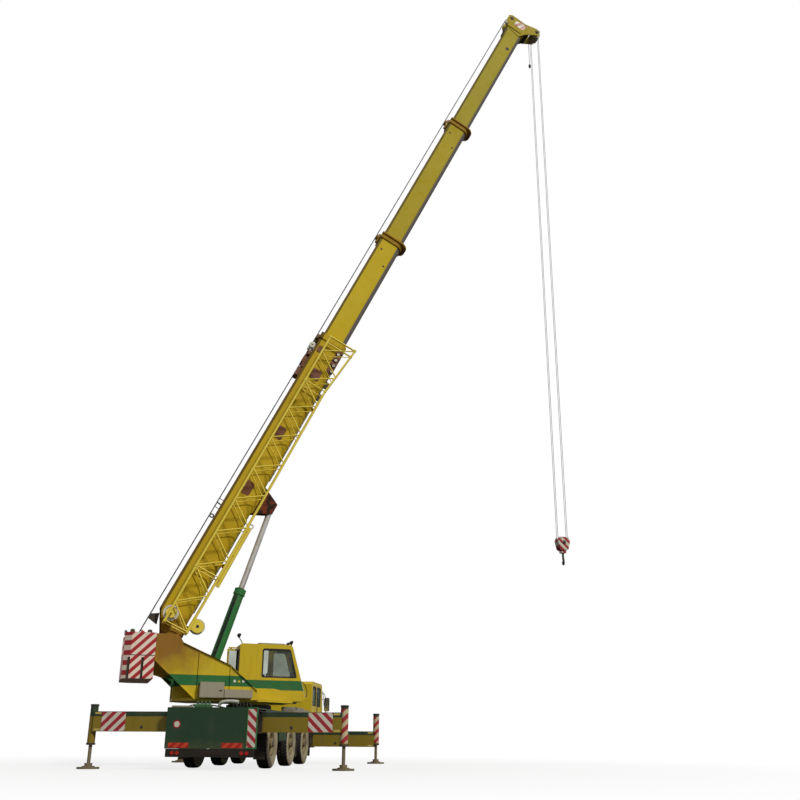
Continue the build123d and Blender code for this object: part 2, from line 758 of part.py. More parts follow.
def turntable():
    """Slewing platform: ring, base plate, two webs up to the boom foot, and the cab and cover arms."""
    ring = post(0, 0, RING_Z, PLATE_Z0, RING_R)
    ring -= post(0, 0, RING_Z - 1, PLATE_Z0 + 1, RING_R - 90)
    cover_in = COVER_Y - COVER_T - PIN_GAP
    outer_y = WEB_Y + WEB_T
    plate = flat_slab(
        (
            (BED_TAIL_X, -outer_y),
            (COVER_TOE_X, -cover_in),
            (300, -cover_in),
            (800, -700),
            (BED_NOSE_X, -outer_y),
            (BED_NOSE_X, OP_Y1 - 80),
            (OP_X0 + 60, OP_Y1 - 80),
            (OP_X0 + 60, cover_in),
            (COVER_TOE_X, cover_in),
            (BED_TAIL_X, outer_y),
        ),
        PLATE_Z0,
        PLATE_Z1,
    )
    web = (
        (BED_TAIL_X, PLATE_Z1),
        (BED_NOSE_X - 350, PLATE_Z1),
        (BED_NOSE_X - 350, PLATE_Z1 + 300),
        (OP_X0, 2500),
        (LIFT_X, 2880),
        (FOOT_X + 500, FOOT_Z - 350),
        (FOOT_X + 260, FOOT_Z + 180),
        (FOOT_X + 120, FOOT_Z + 230),
        (FOOT_X - 200, FOOT_Z + 180),
        (TAIL_WALL_X, FOOT_Z - 400),
        (TAIL_WALL_X, TAIL_WALL_Z0),
        (BED_TAIL_X, TAIL_WALL_Z0 - 200),
    )
    body = ring + plate
    for side in (1, -1):
        body += side_slab(web, side * WEB_Y, side * outer_y)
    body += block(TAIL_WALL_X, TAIL_WALL_X + 50, -WEB_Y, WEB_Y, TAIL_WALL_Z0, FOOT_Z - 400)
    body += cross_pin(FOOT_X, FOOT_Z, -WEB_Y - WEB_T - 20, WEB_Y + WEB_T + 20, FOOT_PIN_D / 2)
    return body


parts["turntable"] = turntable()

COVER_BACK_X = TAIL_WALL_X + 5.0
COVER_OUTLINE = (
    (COVER_BACK_X, COVER_TOP_Z),
    (COVER_BACK_X, COVER_HEEL_Z),
    (COVER_TOE_X, COVER_Z0),
    (80, COVER_Z0),
    (40, COVER_FRONT_Z),
    (-800, COVER_HEEL_Z - 60),
    (FOOT_X + 300, COVER_TOP_Z - 240),
    (FOOT_X + 130, COVER_TOP_Z),
)


SHELF_Z = 2820.0


def side_covers():
    """Folded side plates of the machine housing, each with a shelf across to the web beside it."""
    left = [(x, z) if x < 0 else (OP_X0 - 60, z) for x, z in COVER_OUTLINE if z != COVER_FRONT_Z]
    left[4:4] = [(OP_X0 - 60, COVER_HEEL_Z - 220)]
    made = []
    for side, outline in ((-1, COVER_OUTLINE), (1, left)):
        outer = side * COVER_Y
        inner = side * (COVER_Y - COVER_T)
        plate = side_slab(outline, inner, outer)
        reach = side * (WEB_Y + WEB_T + PIN_GAP)
        shelf = block(FOOT_X - 150, LIFT_X + 400, inner + side * 5, reach, SHELF_Z, SHELF_Z + COVER_T)
        made.append(plate + shelf)
    return made


WEIGHT_BEVEL = 190.0
WINCH_BAY = 620.0


def counterweight():
    """Cast slab across the tail with bevelled rear corners and a bay for the hoist winch."""
    bevel = WEIGHT_BEVEL
    bay_z = WEIGHT_Z1 - WINCH_BAY
    outline = (
        (WEIGHT_X1, -WEIGHT_HALF),
        (WEIGHT_X1, WEIGHT_HALF),
        (WEIGHT_X0 + bevel, WEIGHT_HALF),
        (WEIGHT_X0, WEIGHT_HALF - bevel),
        (WEIGHT_X0, -WEIGHT_HALF + bevel),
        (WEIGHT_X0 + bevel, -WEIGHT_HALF),
    )
    body = flat_slab(outline, WEIGHT_Z0, WEIGHT_Z1)
    body -= block(WEIGHT_X0 - 10, WEIGHT_X1 + 10, -WINCH_HALF - 70, WINCH_HALF + 70, bay_z, WEIGHT_Z1 + 10)
    joint_z = (WEIGHT_Z0 + WEIGHT_Z1) / 2
    for side in (1, -1):
        body -= block(
            WEIGHT_X0 - 10, WEIGHT_X1 + 10, side * (WEIGHT_HALF - 12), side * (WEIGHT_HALF + 10), joint_z - 9, joint_z + 9
        )
        for x in (WEIGHT_X0 + 160, WEIGHT_X0 + 550):
            body -= block(x - 35, x + 35, side * (WEIGHT_HALF - 60), side * (WEIGHT_HALF + 10), WEIGHT_Z0 - 1, joint_z - 60)
    return body


WINCH_HALF = 330.0
WINCH_X = -3540.0
WINCH_Z = 3480.0
DRUM_R = 210.0
FLANGE_R = 285.0

parts["counterweight"] = counterweight()


def hoist_winch():
    """Rope drum with its flanges, between two cheeks bolted to the floor of the bay."""
    profile = (
        (0, -WINCH_HALF),
        (FLANGE_R, -WINCH_HALF),
        (FLANGE_R, -WINCH_HALF + 25),
        (DRUM_R, -WINCH_HALF + 25),
        (DRUM_R, WINCH_HALF - 25),
        (FLANGE_R, WINCH_HALF - 25),
        (FLANGE_R, WINCH_HALF),
        (0, WINCH_HALF),
    )
    drum = turned(profile, (WINCH_X, 0, WINCH_Z))
    floor = WEIGHT_Z1 - WINCH_BAY
    for side in (1, -1):
        cheek = side_slab(
            (
                (WINCH_X - 220, floor),
                (WINCH_X + 220, floor),
                (WINCH_X + 140, WINCH_Z + 150),
                (WINCH_X - 140, WINCH_Z + 150),
            ),
            side * WINCH_HALF,
            side * (WINCH_HALF + 35),
        )
        drum += cheek
    return drum


parts["hoist_winch"] = hoist_winch()


# ---------------------------------------------------------------- crane operator's cab
OP_SIDE = (
    (OP_X0, OP_Z0),
    (OP_X0, OP_Z1 - 50),
    (OP_X0 + 50, OP_Z1),
    (OP_ROOF_X - 40, OP_Z1),
    (OP_ROOF_X + 10, OP_Z1 - 50),
    (OP_NOSE_X, OP_Z0 + 120),
    (OP_NOSE_X - 60, OP_Z0),
)
OP_WINDOW = ((450, 3590), (450, 2720), (1560, 2720), (1330, 3590))
OP_LEFT_WINDOW = ((920, 3560), (920, 2300), (1700, 2300), (1340, 3560))


def operator_cab():
    """Hollow cab with a raked windscreen, side windows, a roof pane and a doorway on its left."""
    shell = side_slab(OP_SIDE, OP_Y0, OP_Y1)
    shell -= side_slab(inset(OP_SIDE, OP_WALL), OP_Y0 + OP_WALL, OP_Y1 - OP_WALL)
    cut = side_slab(OP_WINDOW, OP_Y0 - 5, OP_Y0 + OP_WALL + 5)
    shell -= fillet(cut.edges().filter_by(Axis.Y), 55)
    shell -= block(OP_DOOR_X0, OP_DOOR_X0 + OP_DOOR_W - 60, OP_Y1 - OP_WALL - 5, OP_Y1 + 5, OP_Z0 + 70, OP_Z1 - 130)
    shell -= side_slab(OP_LEFT_WINDOW, OP_Y1 - OP_WALL - 5, OP_Y1 + 5)
    shell -= block(
        OP_ROOF_X - 300, OP_NOSE_X + 50, OP_Y0 + 75, OP_Y1 - 75, OP_Z0 + 260, OP_Z1 - 100
    )
    shell -= block(350, 1150, OP_Y0 + 150, OP_Y1 - 150, OP_Z1 - OP_WALL - 5, OP_Z1 + 5)
    shell -= block(OP_X0 - 5, OP_X0 + OP_WALL + 5, OP_Y0 + 120, OP_Y1 - 120, 2750, 3550)
    legs = [block(x - 60, x + 60, y - 50, y + 50, PLATE_Z1 + PIN_GAP, OP_Z0 + 5) for x in (-100, 1150) for y in (560, 1060)]
    return joined(shell, *legs)


parts["operator_cab"] = operator_cab()


def operator_glass():
    """Windscreen, both side windows, rear and roof panes, each seated in its opening."""
    slope = (OP_NOSE_X - OP_ROOF_X - 10) / (OP_Z1 - 50 - (OP_Z0 + 120))

    def nose_x(z):
        return OP_NOSE_X - (z - (OP_Z0 + 120)) * slope

    g = PIN_GAP
    z0, z1 = OP_Z0 + 260 + g, OP_Z1 - 100 - g
    lean = ((nose_x(z0) - 22, z0), (nose_x(z1) - 22, z1), (nose_x(z1) - 22 + GLASS_T, z1), (nose_x(z0) - 22 + GLASS_T, z0))
    screen = side_slab(lean, OP_Y0 + 75 + g, OP_Y1 - 75 - g)
    right = side_slab(inset(OP_WINDOW, g), OP_Y0 + 16, OP_Y0 + 16 + GLASS_T)
    right = fillet(right.edges().filter_by(Axis.Y), 55 - g)
    left = side_slab(inset(OP_LEFT_WINDOW, g), OP_Y1 - 24, OP_Y1 - 24 + GLASS_T)
    rear = block(OP_X0 + 16, OP_X0 + 16 + GLASS_T, OP_Y0 + 120 + g, OP_Y1 - 120 - g, 2750 + g, 3550 - g)
    roof = block(350 + g, 1150 - g, OP_Y0 + 150 + g, OP_Y1 - 150 - g, OP_Z1 - 24, OP_Z1 - 24 + GLASS_T)
    return Compound(children=[screen, right, left, rear, roof])


parts["operator_glass"] = operator_glass()


def operator_seat():
    """Seat with its lever consoles on a pedestal, and the instrument post."""
    floor = OP_Z0 + OP_WALL + PIN_GAP
    y = (OP_Y0 + OP_Y1) / 2
    seat = block(220, 620, y - 150, y + 150, floor, floor + 380)
    seat += block(160, 700, y - 240, y + 240, floor + 380, floor + 500)
    seat += side_slab(((160, floor + 480), (280, floor + 480), (170, floor + 1160), (70, floor + 1160)), y - 220, y + 220)
    for side in (1, -1):
        seat += block(300, 760, y + side * 240, y + side * 310, floor + 430, floor + 640)
    panel = block(1450, 1650, y - 120, y + 120, floor, floor + 120)
    panel += block(1500, 1560, y - 50, y + 50, floor + 100, floor + 700)
    return Compound(children=[seat, panel])


parts["operator_seat"] = operator_seat()


def operator_door():
    """Sliding door on the cab's left, standing open to the rear, hung on its rail by two rollers."""
    x0 = OP_DOOR_X0 - 30 - OP_DOOR_OPEN
    x1 = x0 + OP_DOOR_W
    y0, y1 = OP_Y1 + DOOR_GAP, OP_Y1 + DOOR_GAP + OP_DOOR_T
    z0, z1 = OP_Z0 + 50, OP_Z1 - 110
    leaf = block(x0, x1, y0, y1, z0, z1)
    leaf -= block(x0 + 60, x1 - 60, y0 - 5, y1 + 5, 2420, z1 - 60)
    for x in (x0 + 120, x1 - 120):
        leaf += block(x - 30, x + 30, y0 + 8, y1, z1 - 1, RAIL_Z0 - PIN_GAP)
    return leaf


RAIL_Z0 = OP_Z1 - 95.0


def operator_door_pane():
    x0 = OP_DOOR_X0 - 30 - OP_DOOR_OPEN
    x1 = x0 + OP_DOOR_W
    y = OP_Y1 + DOOR_GAP + 14
    g = PIN_GAP
    return block(x0 + 60 + g, x1 - 60 - g, y, y + GLASS_T, 2420 + g, OP_Z1 - 170 - g)


parts["operator_door"] = operator_door()
parts["operator_door_pane"] = operator_door_pane()
rail_x0 = OP_DOOR_X0 - 30 - OP_DOOR_OPEN + 40
rail = block(rail_x0, OP_DOOR_X0 + OP_DOOR_W, OP_Y1 - 2, OP_Y1 + DOOR_GAP + OP_DOOR_T, RAIL_Z0, RAIL_Z0 + 40)
parts["operator_cab"] += rail

covers = side_covers()
parts["side_covers"] = Compound(children=covers)


# ---------------------------------------------------------------- boom
def boom_section(width, height, tail, front, flanged=True):
    """One hollow box of the boom: flat top, rounded underside, a collar at the front and a flange that hangs lower."""
    under_r = width * 0.36
    body = beam_section(width, height, 30, under_r, tail, front)
    hollow = beam_section(
        width - 2 * SECTION_WALL, height - 2 * SECTION_WALL, 20, under_r - SECTION_WALL, tail - 1, front + 1
    )
    body += beam_section(
        width + 2 * COLLAR_T, height + 2 * COLLAR_T, 60, under_r + COLLAR_T, front - COLLAR_L, front
    )
    if flanged:
        hang = FLANGE_DROP - COLLAR_T
        flange = beam_section(
            width + 2 * FLANGE_PROUD, height + 2 * COLLAR_T + hang, 60, under_r + FLANGE_PROUD, front - FLANGE_T, front
        )
        body += Pos(0, 0, -hang / 2) * flange
    return body - hollow


def slide_pads(height, tail, outer_height):
    """Wear pads at a section's tail that run on the roof and floor of the section outside it."""
    half = height / 2
    reach = outer_height / 2 - SECTION_WALL - PIN_GAP
    return [
        block(tail + 40, tail + 40 + PAD_L, -PAD_HALF, PAD_HALF, CORE_V + sign * (half - 1), CORE_V + sign * reach)
        for sign in (1, -1)
    ]


PAD_HALF = 70.0
EAR_V = 1040.0


def rope_ear(front, height):
    """Rope guide standing on a collar: two cheeks and a roller between them."""
    u = front - COLLAR_L / 2
    base = CORE_V + height / 2 + COLLAR_T - 5
    ear = None
    for side in (1, -1):
        cheek = side_slab(
            ((u - 90, base), (u + 90, base), (u + 45, EAR_V - 20), (u - 45, EAR_V - 20)), side * 90, side * 115
        )
        ear = cheek if ear is None else ear + cheek
    ear += cross_pin(u, EAR_V - 70, -115, 115, 35)
    return ear


LUG_R = 190.0


def foot_lug():
    """Pin eyes at the boom's foot, either side of the base section."""
    made = []
    for side in (1, -1):
        y0, y1 = side * (SECTIONS[0][1] / 2 - 20), side * (WEB_Y - RUN_GAP)
        lug = cross_pin(0, 0, y0, y1, LUG_R) + block(-100, 700, y0, y1, -LUG_R, LUG_R)
        made.append(lug)
    return made


def lift_fork():
    """Two plates under the base section that straddle the lift cylinder's rod eye."""
    under = CORE_V - SECTIONS[0][2] / 2
    made = []
    for side in (1, -1):
        plate = side_slab(
            (
                (LIFT_U - 520, under + 10),
                (LIFT_U + 520, under + 10),
                (LIFT_U + 190, LIFT_V - 130),
                (LIFT_U - 190, LIFT_V - 130),
            ),
            side * (EYE_W / 2 + 8),
            side * (EYE_W / 2 + 48),
        )
        made.append(plate)
    return made


def boom_base():
    """Base section with its foot eyes, lift fork, rope guide and the arms that hold the folded jib."""
    _, width, height, tail, front = SECTIONS[0]
    roof = CORE_V + height / 2
    body = boom_section(width, height, tail, front, flanged=False)
    body -= side_slab(
        ((tail - 10, TAIL_SLOPE_V), (tail, TAIL_SLOPE_V), (TAIL_SLOPE_U, roof), (TAIL_SLOPE_U, roof + 10), (tail - 10, roof + 10)),
        -width,
        width,
    )
    body = joined(body, *foot_lug(), *lift_fork(), rope_ear(front, height))
    body -= cross_pin(0, 0, -WEB_Y, WEB_Y, FOOT_PIN_D / 2 + PIN_GAP)
    body -= block(tail - 10, 320, -width / 2 + 60, width / 2 - 60, -LUG_R, LUG_R)
    side_y = -width / 2 + 4
    chord_y = JIB_Y0 + JIB_CHORD / 2 + PIN_GAP
    low, high = JIB_V - JIB_HALF, JIB_V + JIB_HALF
    for u in (JIB_U0 + 2400, JIB_U1 - JIB_BUTT_L - 600):
        under_arm = ((side_y, 290), (side_y, 170), (chord_y, low - 40), (chord_y, low + 60))
        top_arm = ((side_y, high - 10), (side_y, high - 100), (chord_y, high - 40), (chord_y, high + 40))
        body += cross_slab(under_arm, u - 60, u + 60)
        body += cross_slab(top_arm, u - 60, u + 60)
    return body


parts["boom_base"] = boom_base()
for outside, (section_name, width, height, tail, front) in zip(SECTIONS, SECTIONS[1:]):
    is_head = section_name == "boom_head"
    section = boom_section(width, height, tail, front, flanged=not is_head)
    section = joined(section, *slide_pads(height, tail, outside[2]))
    parts[section_name] = section if is_head else section + rope_ear(front, height)


def head_plates():
    """Cheeks of the boom head: they carry the rope sheave on top and the load sheaves below."""
    _, width, height, _, front = SECTIONS[3]
    half = width / 2
    outline = (
        (front - 450, CORE_V - 250),
        (front - 300, CORE_V + height / 2 - 60),
        (TOP_SHEAVE_U - 150, TOP_SHEAVE_V + 190),
        (TOP_SHEAVE_U + 90, TOP_SHEAVE_V + 190),
        (TOP_SHEAVE_U + 200, TOP_SHEAVE_V + 40),
        (front + 480, 100),
        (HEAD_U + 180, HEAD_V + 60),
        (HEAD_U + 120, HEAD_V - 130),
        (HEAD_U - 120, HEAD_V - 130),
        (front - 40, CORE_V - height / 2 - 120),
    )
    body = None
    for side in (1, -1):
        cheek = side_slab(outline, side * (half - 10), side * (half + HEAD_CHEEK_T - 10))
        body = cheek if body is None else body + cheek
    for u, v in JIB_PINS:
        body -= cross_pin(u, v, -width, width, JIB_PIN_D / 2)
    body += cross_pin(HEAD_U, HEAD_V, -half, half, SHEAVE_PIN_R)
    body += cross_pin(TOP_SHEAVE_U, TOP_SHEAVE_V, -half, half, SHEAVE_PIN_R)
    return body


HEAD_CHEEK_T = 28.0
SHEAVE_PIN_R = 45.0
TOP_SHEAVE_U = SECTIONS[3][4] + 300.0
TOP_SHEAVE_V = 790.0
JIB_PIN_D = 60.0
JIB_PINS = ((SECTIONS[3][4] + 390.0, 330.0), (SECTIONS[3][4] + 400.0, -20.0))
SHEAVE_W = 62.0
SHEAVE_YS = (-150.0, -50.0, 50.0, 150.0)


def sheave(u, v, y, radius, bore_r):
    """Grooved rope sheave on a pin."""
    half = SHEAVE_W / 2
    profile = (
        (bore_r, -half),
        (radius, -half),
        (radius, -half + 12),
        (radius - GROOVE_DEPTH, -9),
        (radius - GROOVE_DEPTH, 9),
        (radius, half - 12),
        (radius, half),
        (bore_r, half),
    )
    return turned(profile, (u, y, v))


parts["boom_head"] = parts["boom_head"] + head_plates()
head_sheave_solids = [sheave(HEAD_U, HEAD_V, y, SHEAVE_R, SHEAVE_PIN_R + PIN_GAP) for y in SHEAVE_YS]
head_sheave_solids.append(sheave(TOP_SHEAVE_U, TOP_SHEAVE_V, 0, SHEAVE_R, SHEAVE_PIN_R + PIN_GAP))
parts["head_sheaves"] = Compound(children=head_sheave_solids)


# ---------------------------------------------------------------- folded lattice jib
def jib_half(u, sign):
    """Half the jib's depth: a little less at the tip, and below its middle flared out to the butt."""
    ends = (
        (JIB_U0, JIB_TIP_HALF),
        (JIB_U0 + JIB_TIP_L, JIB_HALF),
        (JIB_U1 - JIB_BUTT_L, JIB_HALF),
        (JIB_U1, JIB_HALF if sign > 0 else JIB_HALF + JIB_FLARE),
    )
    for (ua, ha), (ub, hb) in zip(ends, ends[1:]):
        if u <= ub:
            return ha + (hb - ha) * (u - ua) / (ub - ua)
    return ends[-1][1]


def jib_stations():
    """Panel points along the jib, with one at each change of taper."""
    bays = JIB_BAYS - 4
    step = (JIB_U1 - JIB_U0 - JIB_TIP_L - JIB_BUTT_L) / bays
    inner = [JIB_U0 + JIB_TIP_L + step * k for k in range(bays + 1)]
    return [JIB_U0, JIB_U0 + JIB_TIP_L / 2, *inner, JIB_U1 - JIB_BUTT_L / 2, JIB_U1]


def lattice_tubes():
    """Four chords laced by tubes on every face; the lacing meets each chord at staggered points."""
    stations = jib_stations()
    rows = (JIB_Y0, JIB_Y1)
    tubes = []
    corner_us = (JIB_U0, JIB_U0 + JIB_TIP_L, JIB_U1 - JIB_BUTT_L, JIB_U1)

    def chord_point(u, y, sign):
        return (u, y, JIB_V + sign * jib_half(u, sign))

    for y in rows:
        for sign in (1, -1):
            for ua, ub in zip(corner_us, corner_us[1:]):
                tubes.append(bar(chord_point(ua, y, sign), chord_point(ub, y, sign), JIB_CHORD))
            for u in corner_us:
                x, _, z = chord_point(u, y, sign)
                tubes.append(bar((x - JIB_SLEEVE_L / 2, y, z), (x + JIB_SLEEVE_L / 2, y, z), JIB_SLEEVE))
    for u in stations[:-1]:
        v = u + LACE_STEP
        for y in rows:
            tubes.append(bar(chord_point(v, y, -1), chord_point(v, y, 1), JIB_LACE))
        w = v + LACE_STEP
        for sign in (1, -1):
            tubes.append(bar(chord_point(w, rows[0], sign), chord_point(w, rows[1], sign), JIB_LACE))
    for k, (ua, ub) in enumerate(zip(stations, stations[1:])):
        flip = 1 if k % 2 else -1
        a, b = ua + 3 * LACE_STEP, ub - LACE_STEP
        for y in rows:
            tubes.append(bar(chord_point(a, y, flip), chord_point(b, y, -flip), JIB_LACE))
        a, b = ua + 4 * LACE_STEP, ub - 2 * LACE_STEP
        first, second = rows if k % 2 else rows[::-1]
        for sign in (1, -1):
            tubes.append(bar(chord_point(a, first, sign), chord_point(b, second, sign), JIB_LACE))
    for y in rows:
        tubes.append(bar(chord_point(JIB_U1, y, -1), chord_point(JIB_U1, y, 1), JIB_LACE))
    return tubes


TIP_SHEAVE_U = JIB_U0 + 310.0
TIP_SHEAVE_R = SHEAVE_R + 20.0
TIP_CHEEK_R = 190.0
TIP_HANG = 190.0


def jib_tip():
    """Two rope sheaves near the jib's tip: one between the upper chords, one hung under the lower chords."""
    middle = (JIB_Y0 + JIB_Y1) / 2
    half = jib_half(TIP_SHEAVE_U, -1)
    high, chord = JIB_V + half - 50, JIB_V - half
    low = chord - TIP_HANG
    hanger = (
        (TIP_SHEAVE_U - 230, chord + 45),
        (TIP_SHEAVE_U + 230, chord + 45),
        (TIP_SHEAVE_U + TIP_CHEEK_R - 40, low),
        (TIP_SHEAVE_U - TIP_CHEEK_R + 40, low),
    )
    made = [
        cross_pin(TIP_SHEAVE_U, high, JIB_Y0, JIB_Y1, 40),
        cross_pin(TIP_SHEAVE_U, low, middle - 130, middle + 130, 40),
    ]
    for v in (high, low):
        made.append(sheave(TIP_SHEAVE_U, v, middle, TIP_SHEAVE_R, 30))
        for y in (middle - 120, middle + 120):
            made.append(cross_pin(TIP_SHEAVE_U, v, y - 12, y + 12, TIP_CHEEK_R))
    for y in (middle - 120, middle + 120):
        made.append(side_slab(hanger, y - 12, y + 12))
    for u in (TIP_SHEAVE_U - 200, TIP_SHEAVE_U + 200):
        made.append(cross_pin(u, chord, JIB_Y0, JIB_Y1, 24))
    return made


parts["lattice_jib"] = joined(*lattice_tubes(), *jib_tip())


# ---------------------------------------------------------------- lift cylinder
def rod_point():
    return boom_to_super(LIFT_U, LIFT_V)


def along_lift(distance):
    """A point that far from the lower pin towards the upper one."""
    ex, ez = rod_point()
    length = hypot(ex - LIFT_X, ez - LIFT_Z)
    return LIFT_X + (ex - LIFT_X) * distance / length, LIFT_Z + (ez - LIFT_Z) * distance / length


def lift_barrel():
    """Barrel on its lower pin, with a gland that the rod slides in."""
    (gx, gz), (hx, hz) = along_lift(NECK_L), along_lift(BARREL_L)
    body = rod((gx, 0, gz), (hx, 0, hz), BARREL_D / 2)
    neck = rod((LIFT_X, 0, LIFT_Z), (gx + 1, 0, gz + 4), BARREL_D / 2)
    body += neck & block(LIFT_X - 900, LIFT_X + 900, -EYE_W / 2, EYE_W / 2, LIFT_Z - 900, LIFT_Z + 900)
    (gx, gz), (hx, hz) = along_lift(BARREL_L - 160), along_lift(BARREL_L)
    body += rod((gx, 0, gz), (hx, 0, hz), BARREL_D / 2 + 22)
    body += cross_pin(LIFT_X, LIFT_Z, -EYE_W / 2, EYE_W / 2, EYE_D / 2)
    (gx, gz), (hx, hz) = along_lift(NECK_L + 60), along_lift(BARREL_L - 140)
    body -= rod((gx, 0, gz), (hx, 0, hz), BARREL_D / 2 - 30)
    (gx, gz), (hx, hz) = along_lift(BARREL_L - 141), along_lift(BARREL_L + 1)
    body -= rod((gx, 0, gz), (hx, 0, hz), ROD_D / 2 + PIN_GAP)
    return body - cross_pin(LIFT_X, LIFT_Z, -EYE_W, EYE_W, 60 + PIN_GAP)


def lift_rod():
    """Chromed rod with its eye and the stub pins that fill the eye."""
    ex, ez = rod_point()
    inner_x, inner_z = along_lift(BARREL_L - ROD_HELD)
    body = rod((inner_x, 0, inner_z), (ex, 0, ez), ROD_D / 2)
    return body + cross_pin(ex, ez, -EYE_W / 2, EYE_W / 2, EYE_D / 2)


parts["lift_barrel"] = lift_barrel()
parts["lift_rod"] = lift_rod()
parts["turntable"] += cross_pin(LIFT_X, LIFT_Z, -WEB_Y - WEB_T, WEB_Y + WEB_T, 60)
for side_sign in (1, -1):
    lug = side_slab(
        ((LIFT_X - 320, PLATE_Z1 - 5), (LIFT_X + 320, PLATE_Z1 - 5), (LIFT_X + 130, LIFT_Z + 140), (LIFT_X - 130, LIFT_Z + 140)),
        side_sign * (EYE_W / 2 + 6),
        side_sign * (EYE_W / 2 + 56),
    )
    parts["turntable"] += lug


# ---------------------------------------------------------------- hoist falls and hook
def hook_frame():
    """Where the falls hang: below the load sheaves' axis, in the superstructure frame."""
    return boom_to_super(HEAD_U, HEAD_V)


def hoist_falls():
    """Four plumb lines of rope between the head's sheaves and the block's."""
    x, z = hook_frame()
    lines = []
    reach = SHEAVE_R - GROOVE_DEPTH + ROPE_D / 2 + PIN_GAP
    for y in (SHEAVE_YS[1], SHEAVE_YS[2]):
        for side in (1, -1):
            lines.append(post(x + side * reach, y, BLOCK_Z, z, ROPE_D / 2))
    return Compound(children=lines)


def hook_block():
    """Hook block: two cheek plates, two sheaves on their pin, and the crosshead below."""
    x = hook_frame()[0]
    outline = (
        (x - 190, BLOCK_Z + 210),
        (x + 190, BLOCK_Z + 210),
        (x + 250, BLOCK_Z + 60),
        (x + 170, BLOCK_Z - 260),
        (x - 170, BLOCK_Z - 260),
        (x - 250, BLOCK_Z + 60),
    )
    made = None
    for side in (1, -1):
        cheek = side_slab(outline, side * 105, side * 150)
        made = cheek if made is None else made + cheek
    made += block(x - 90, x + 90, -110, 110, CROSSHEAD_Z - 130, CROSSHEAD_Z - 5)
    made += block(x - 120, x + 120, -148, 148, CROSSHEAD_Z - 30, CROSSHEAD_Z)
    made += cross_pin(x, BLOCK_Z, -110, 110, 40)
    groove_r = SHEAVE_R - GROOVE_DEPTH
    for y in (SHEAVE_YS[1], SHEAVE_YS[2]):
        made += turned(
            ((35, -30), (SHEAVE_R, -30), (groove_r, -9), (groove_r, 9), (SHEAVE_R, 30), (35, 30)),
            (x, y, BLOCK_Z),
        )
    return made - post(x, 0, CROSSHEAD_Z - 131, CROSSHEAD_Z + 1, SHANK_R + PIN_GAP)


NUT_H = 30.0
SHANK_R = 40.0
CROSSHEAD_Z = BLOCK_Z - SHEAVE_R - 8.0 - NUT_H
HOOK_Z = BLOCK_Z - HOOK_DROP
HOOK_BEND_R = 105.0
HOOK_SECTION_R = 42.0


def hook():
    """Forged hook: shank through the crosshead with its nut, and a round bill with an open throat."""
    neck_z = HOOK_BEND_R
    nut_z = CROSSHEAD_Z + PIN_GAP - HOOK_Z
    shank = post(0, 0, neck_z, nut_z + NUT_H - 6, SHANK_R)
    nut = post(0, 0, nut_z, nut_z + NUT_H - 2, 62)
    bend = Rot(90, 0, 0) * Torus(HOOK_BEND_R, HOOK_SECTION_R)
    reach = 2 * HOOK_BEND_R + 10
    bend -= side_slab(((0, 0), (reach, -10), (reach, reach), (48, reach)), -90, 90)
    tip = Pos(HOOK_BEND_R, 0, -4) * Sphere(HOOK_SECTION_R - 1)
    neck = Pos(0, 0, neck_z) * Sphere(HOOK_SECTION_R + 4)
    body = joined(shank, nut, bend, tip, neck)
    return Pos(hook_frame()[0], 0, HOOK_Z) * Rot(0, 0, -SLEW_DEG) * body


parts["hoist_falls"] = hoist_falls()
parts["hook_block"] = hook_block()
parts["hook"] = hook()

# ---------------------------------------------------------------- placing every piece
ON_BOOM = ("boom_base", "boom_section_2", "boom_section_3", "boom_head", "head_sheaves", "lattice_jib")
ON_SUPERSTRUCTURE = (
    "turntable",
    "side_covers",
    "counterweight",
    "hoist_winch",
    "operator_cab",
    "operator_glass",
    "operator_seat",
    "operator_door",
    "operator_door_pane",
    "lift_barrel",
    "lift_rod",
    "hoist_falls",
    "hook_block",
    "hook",
)

placed = {}
for node, shape in parts.items():
    if node in ON_BOOM:
        shape = on_boom(shape)
    elif node in ON_SUPERSTRUCTURE:
        shape = on_superstructure(shape)
    placed[node] = shape


def footprint_centre():
    """The middle of the whole machine, seen from above."""
    boxes = [shape.bounding_box() for shape in placed.values()]
    x = (min(b.min.X for b in boxes) + max(b.max.X for b in boxes)) / 2
    y = (min(b.min.Y for b in boxes) + max(b.max.Y for b in boxes)) / 2
    return x, y


ORIGIN = footprint_centre()

os.makedirs("parts", exist_ok=True)
for node, shape in placed.items():
    solids = (Pos(-ORIGIN[0], -ORIGIN[1], 0) * shape).solids()
    whole = solids[0] if len(solids) == 1 else Compound(children=list(solids))
    export_step(whole, "parts/" + node + ".step")
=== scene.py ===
import json

import bmesh
import bpy
import numpy as np
from mathutils import Matrix, Vector


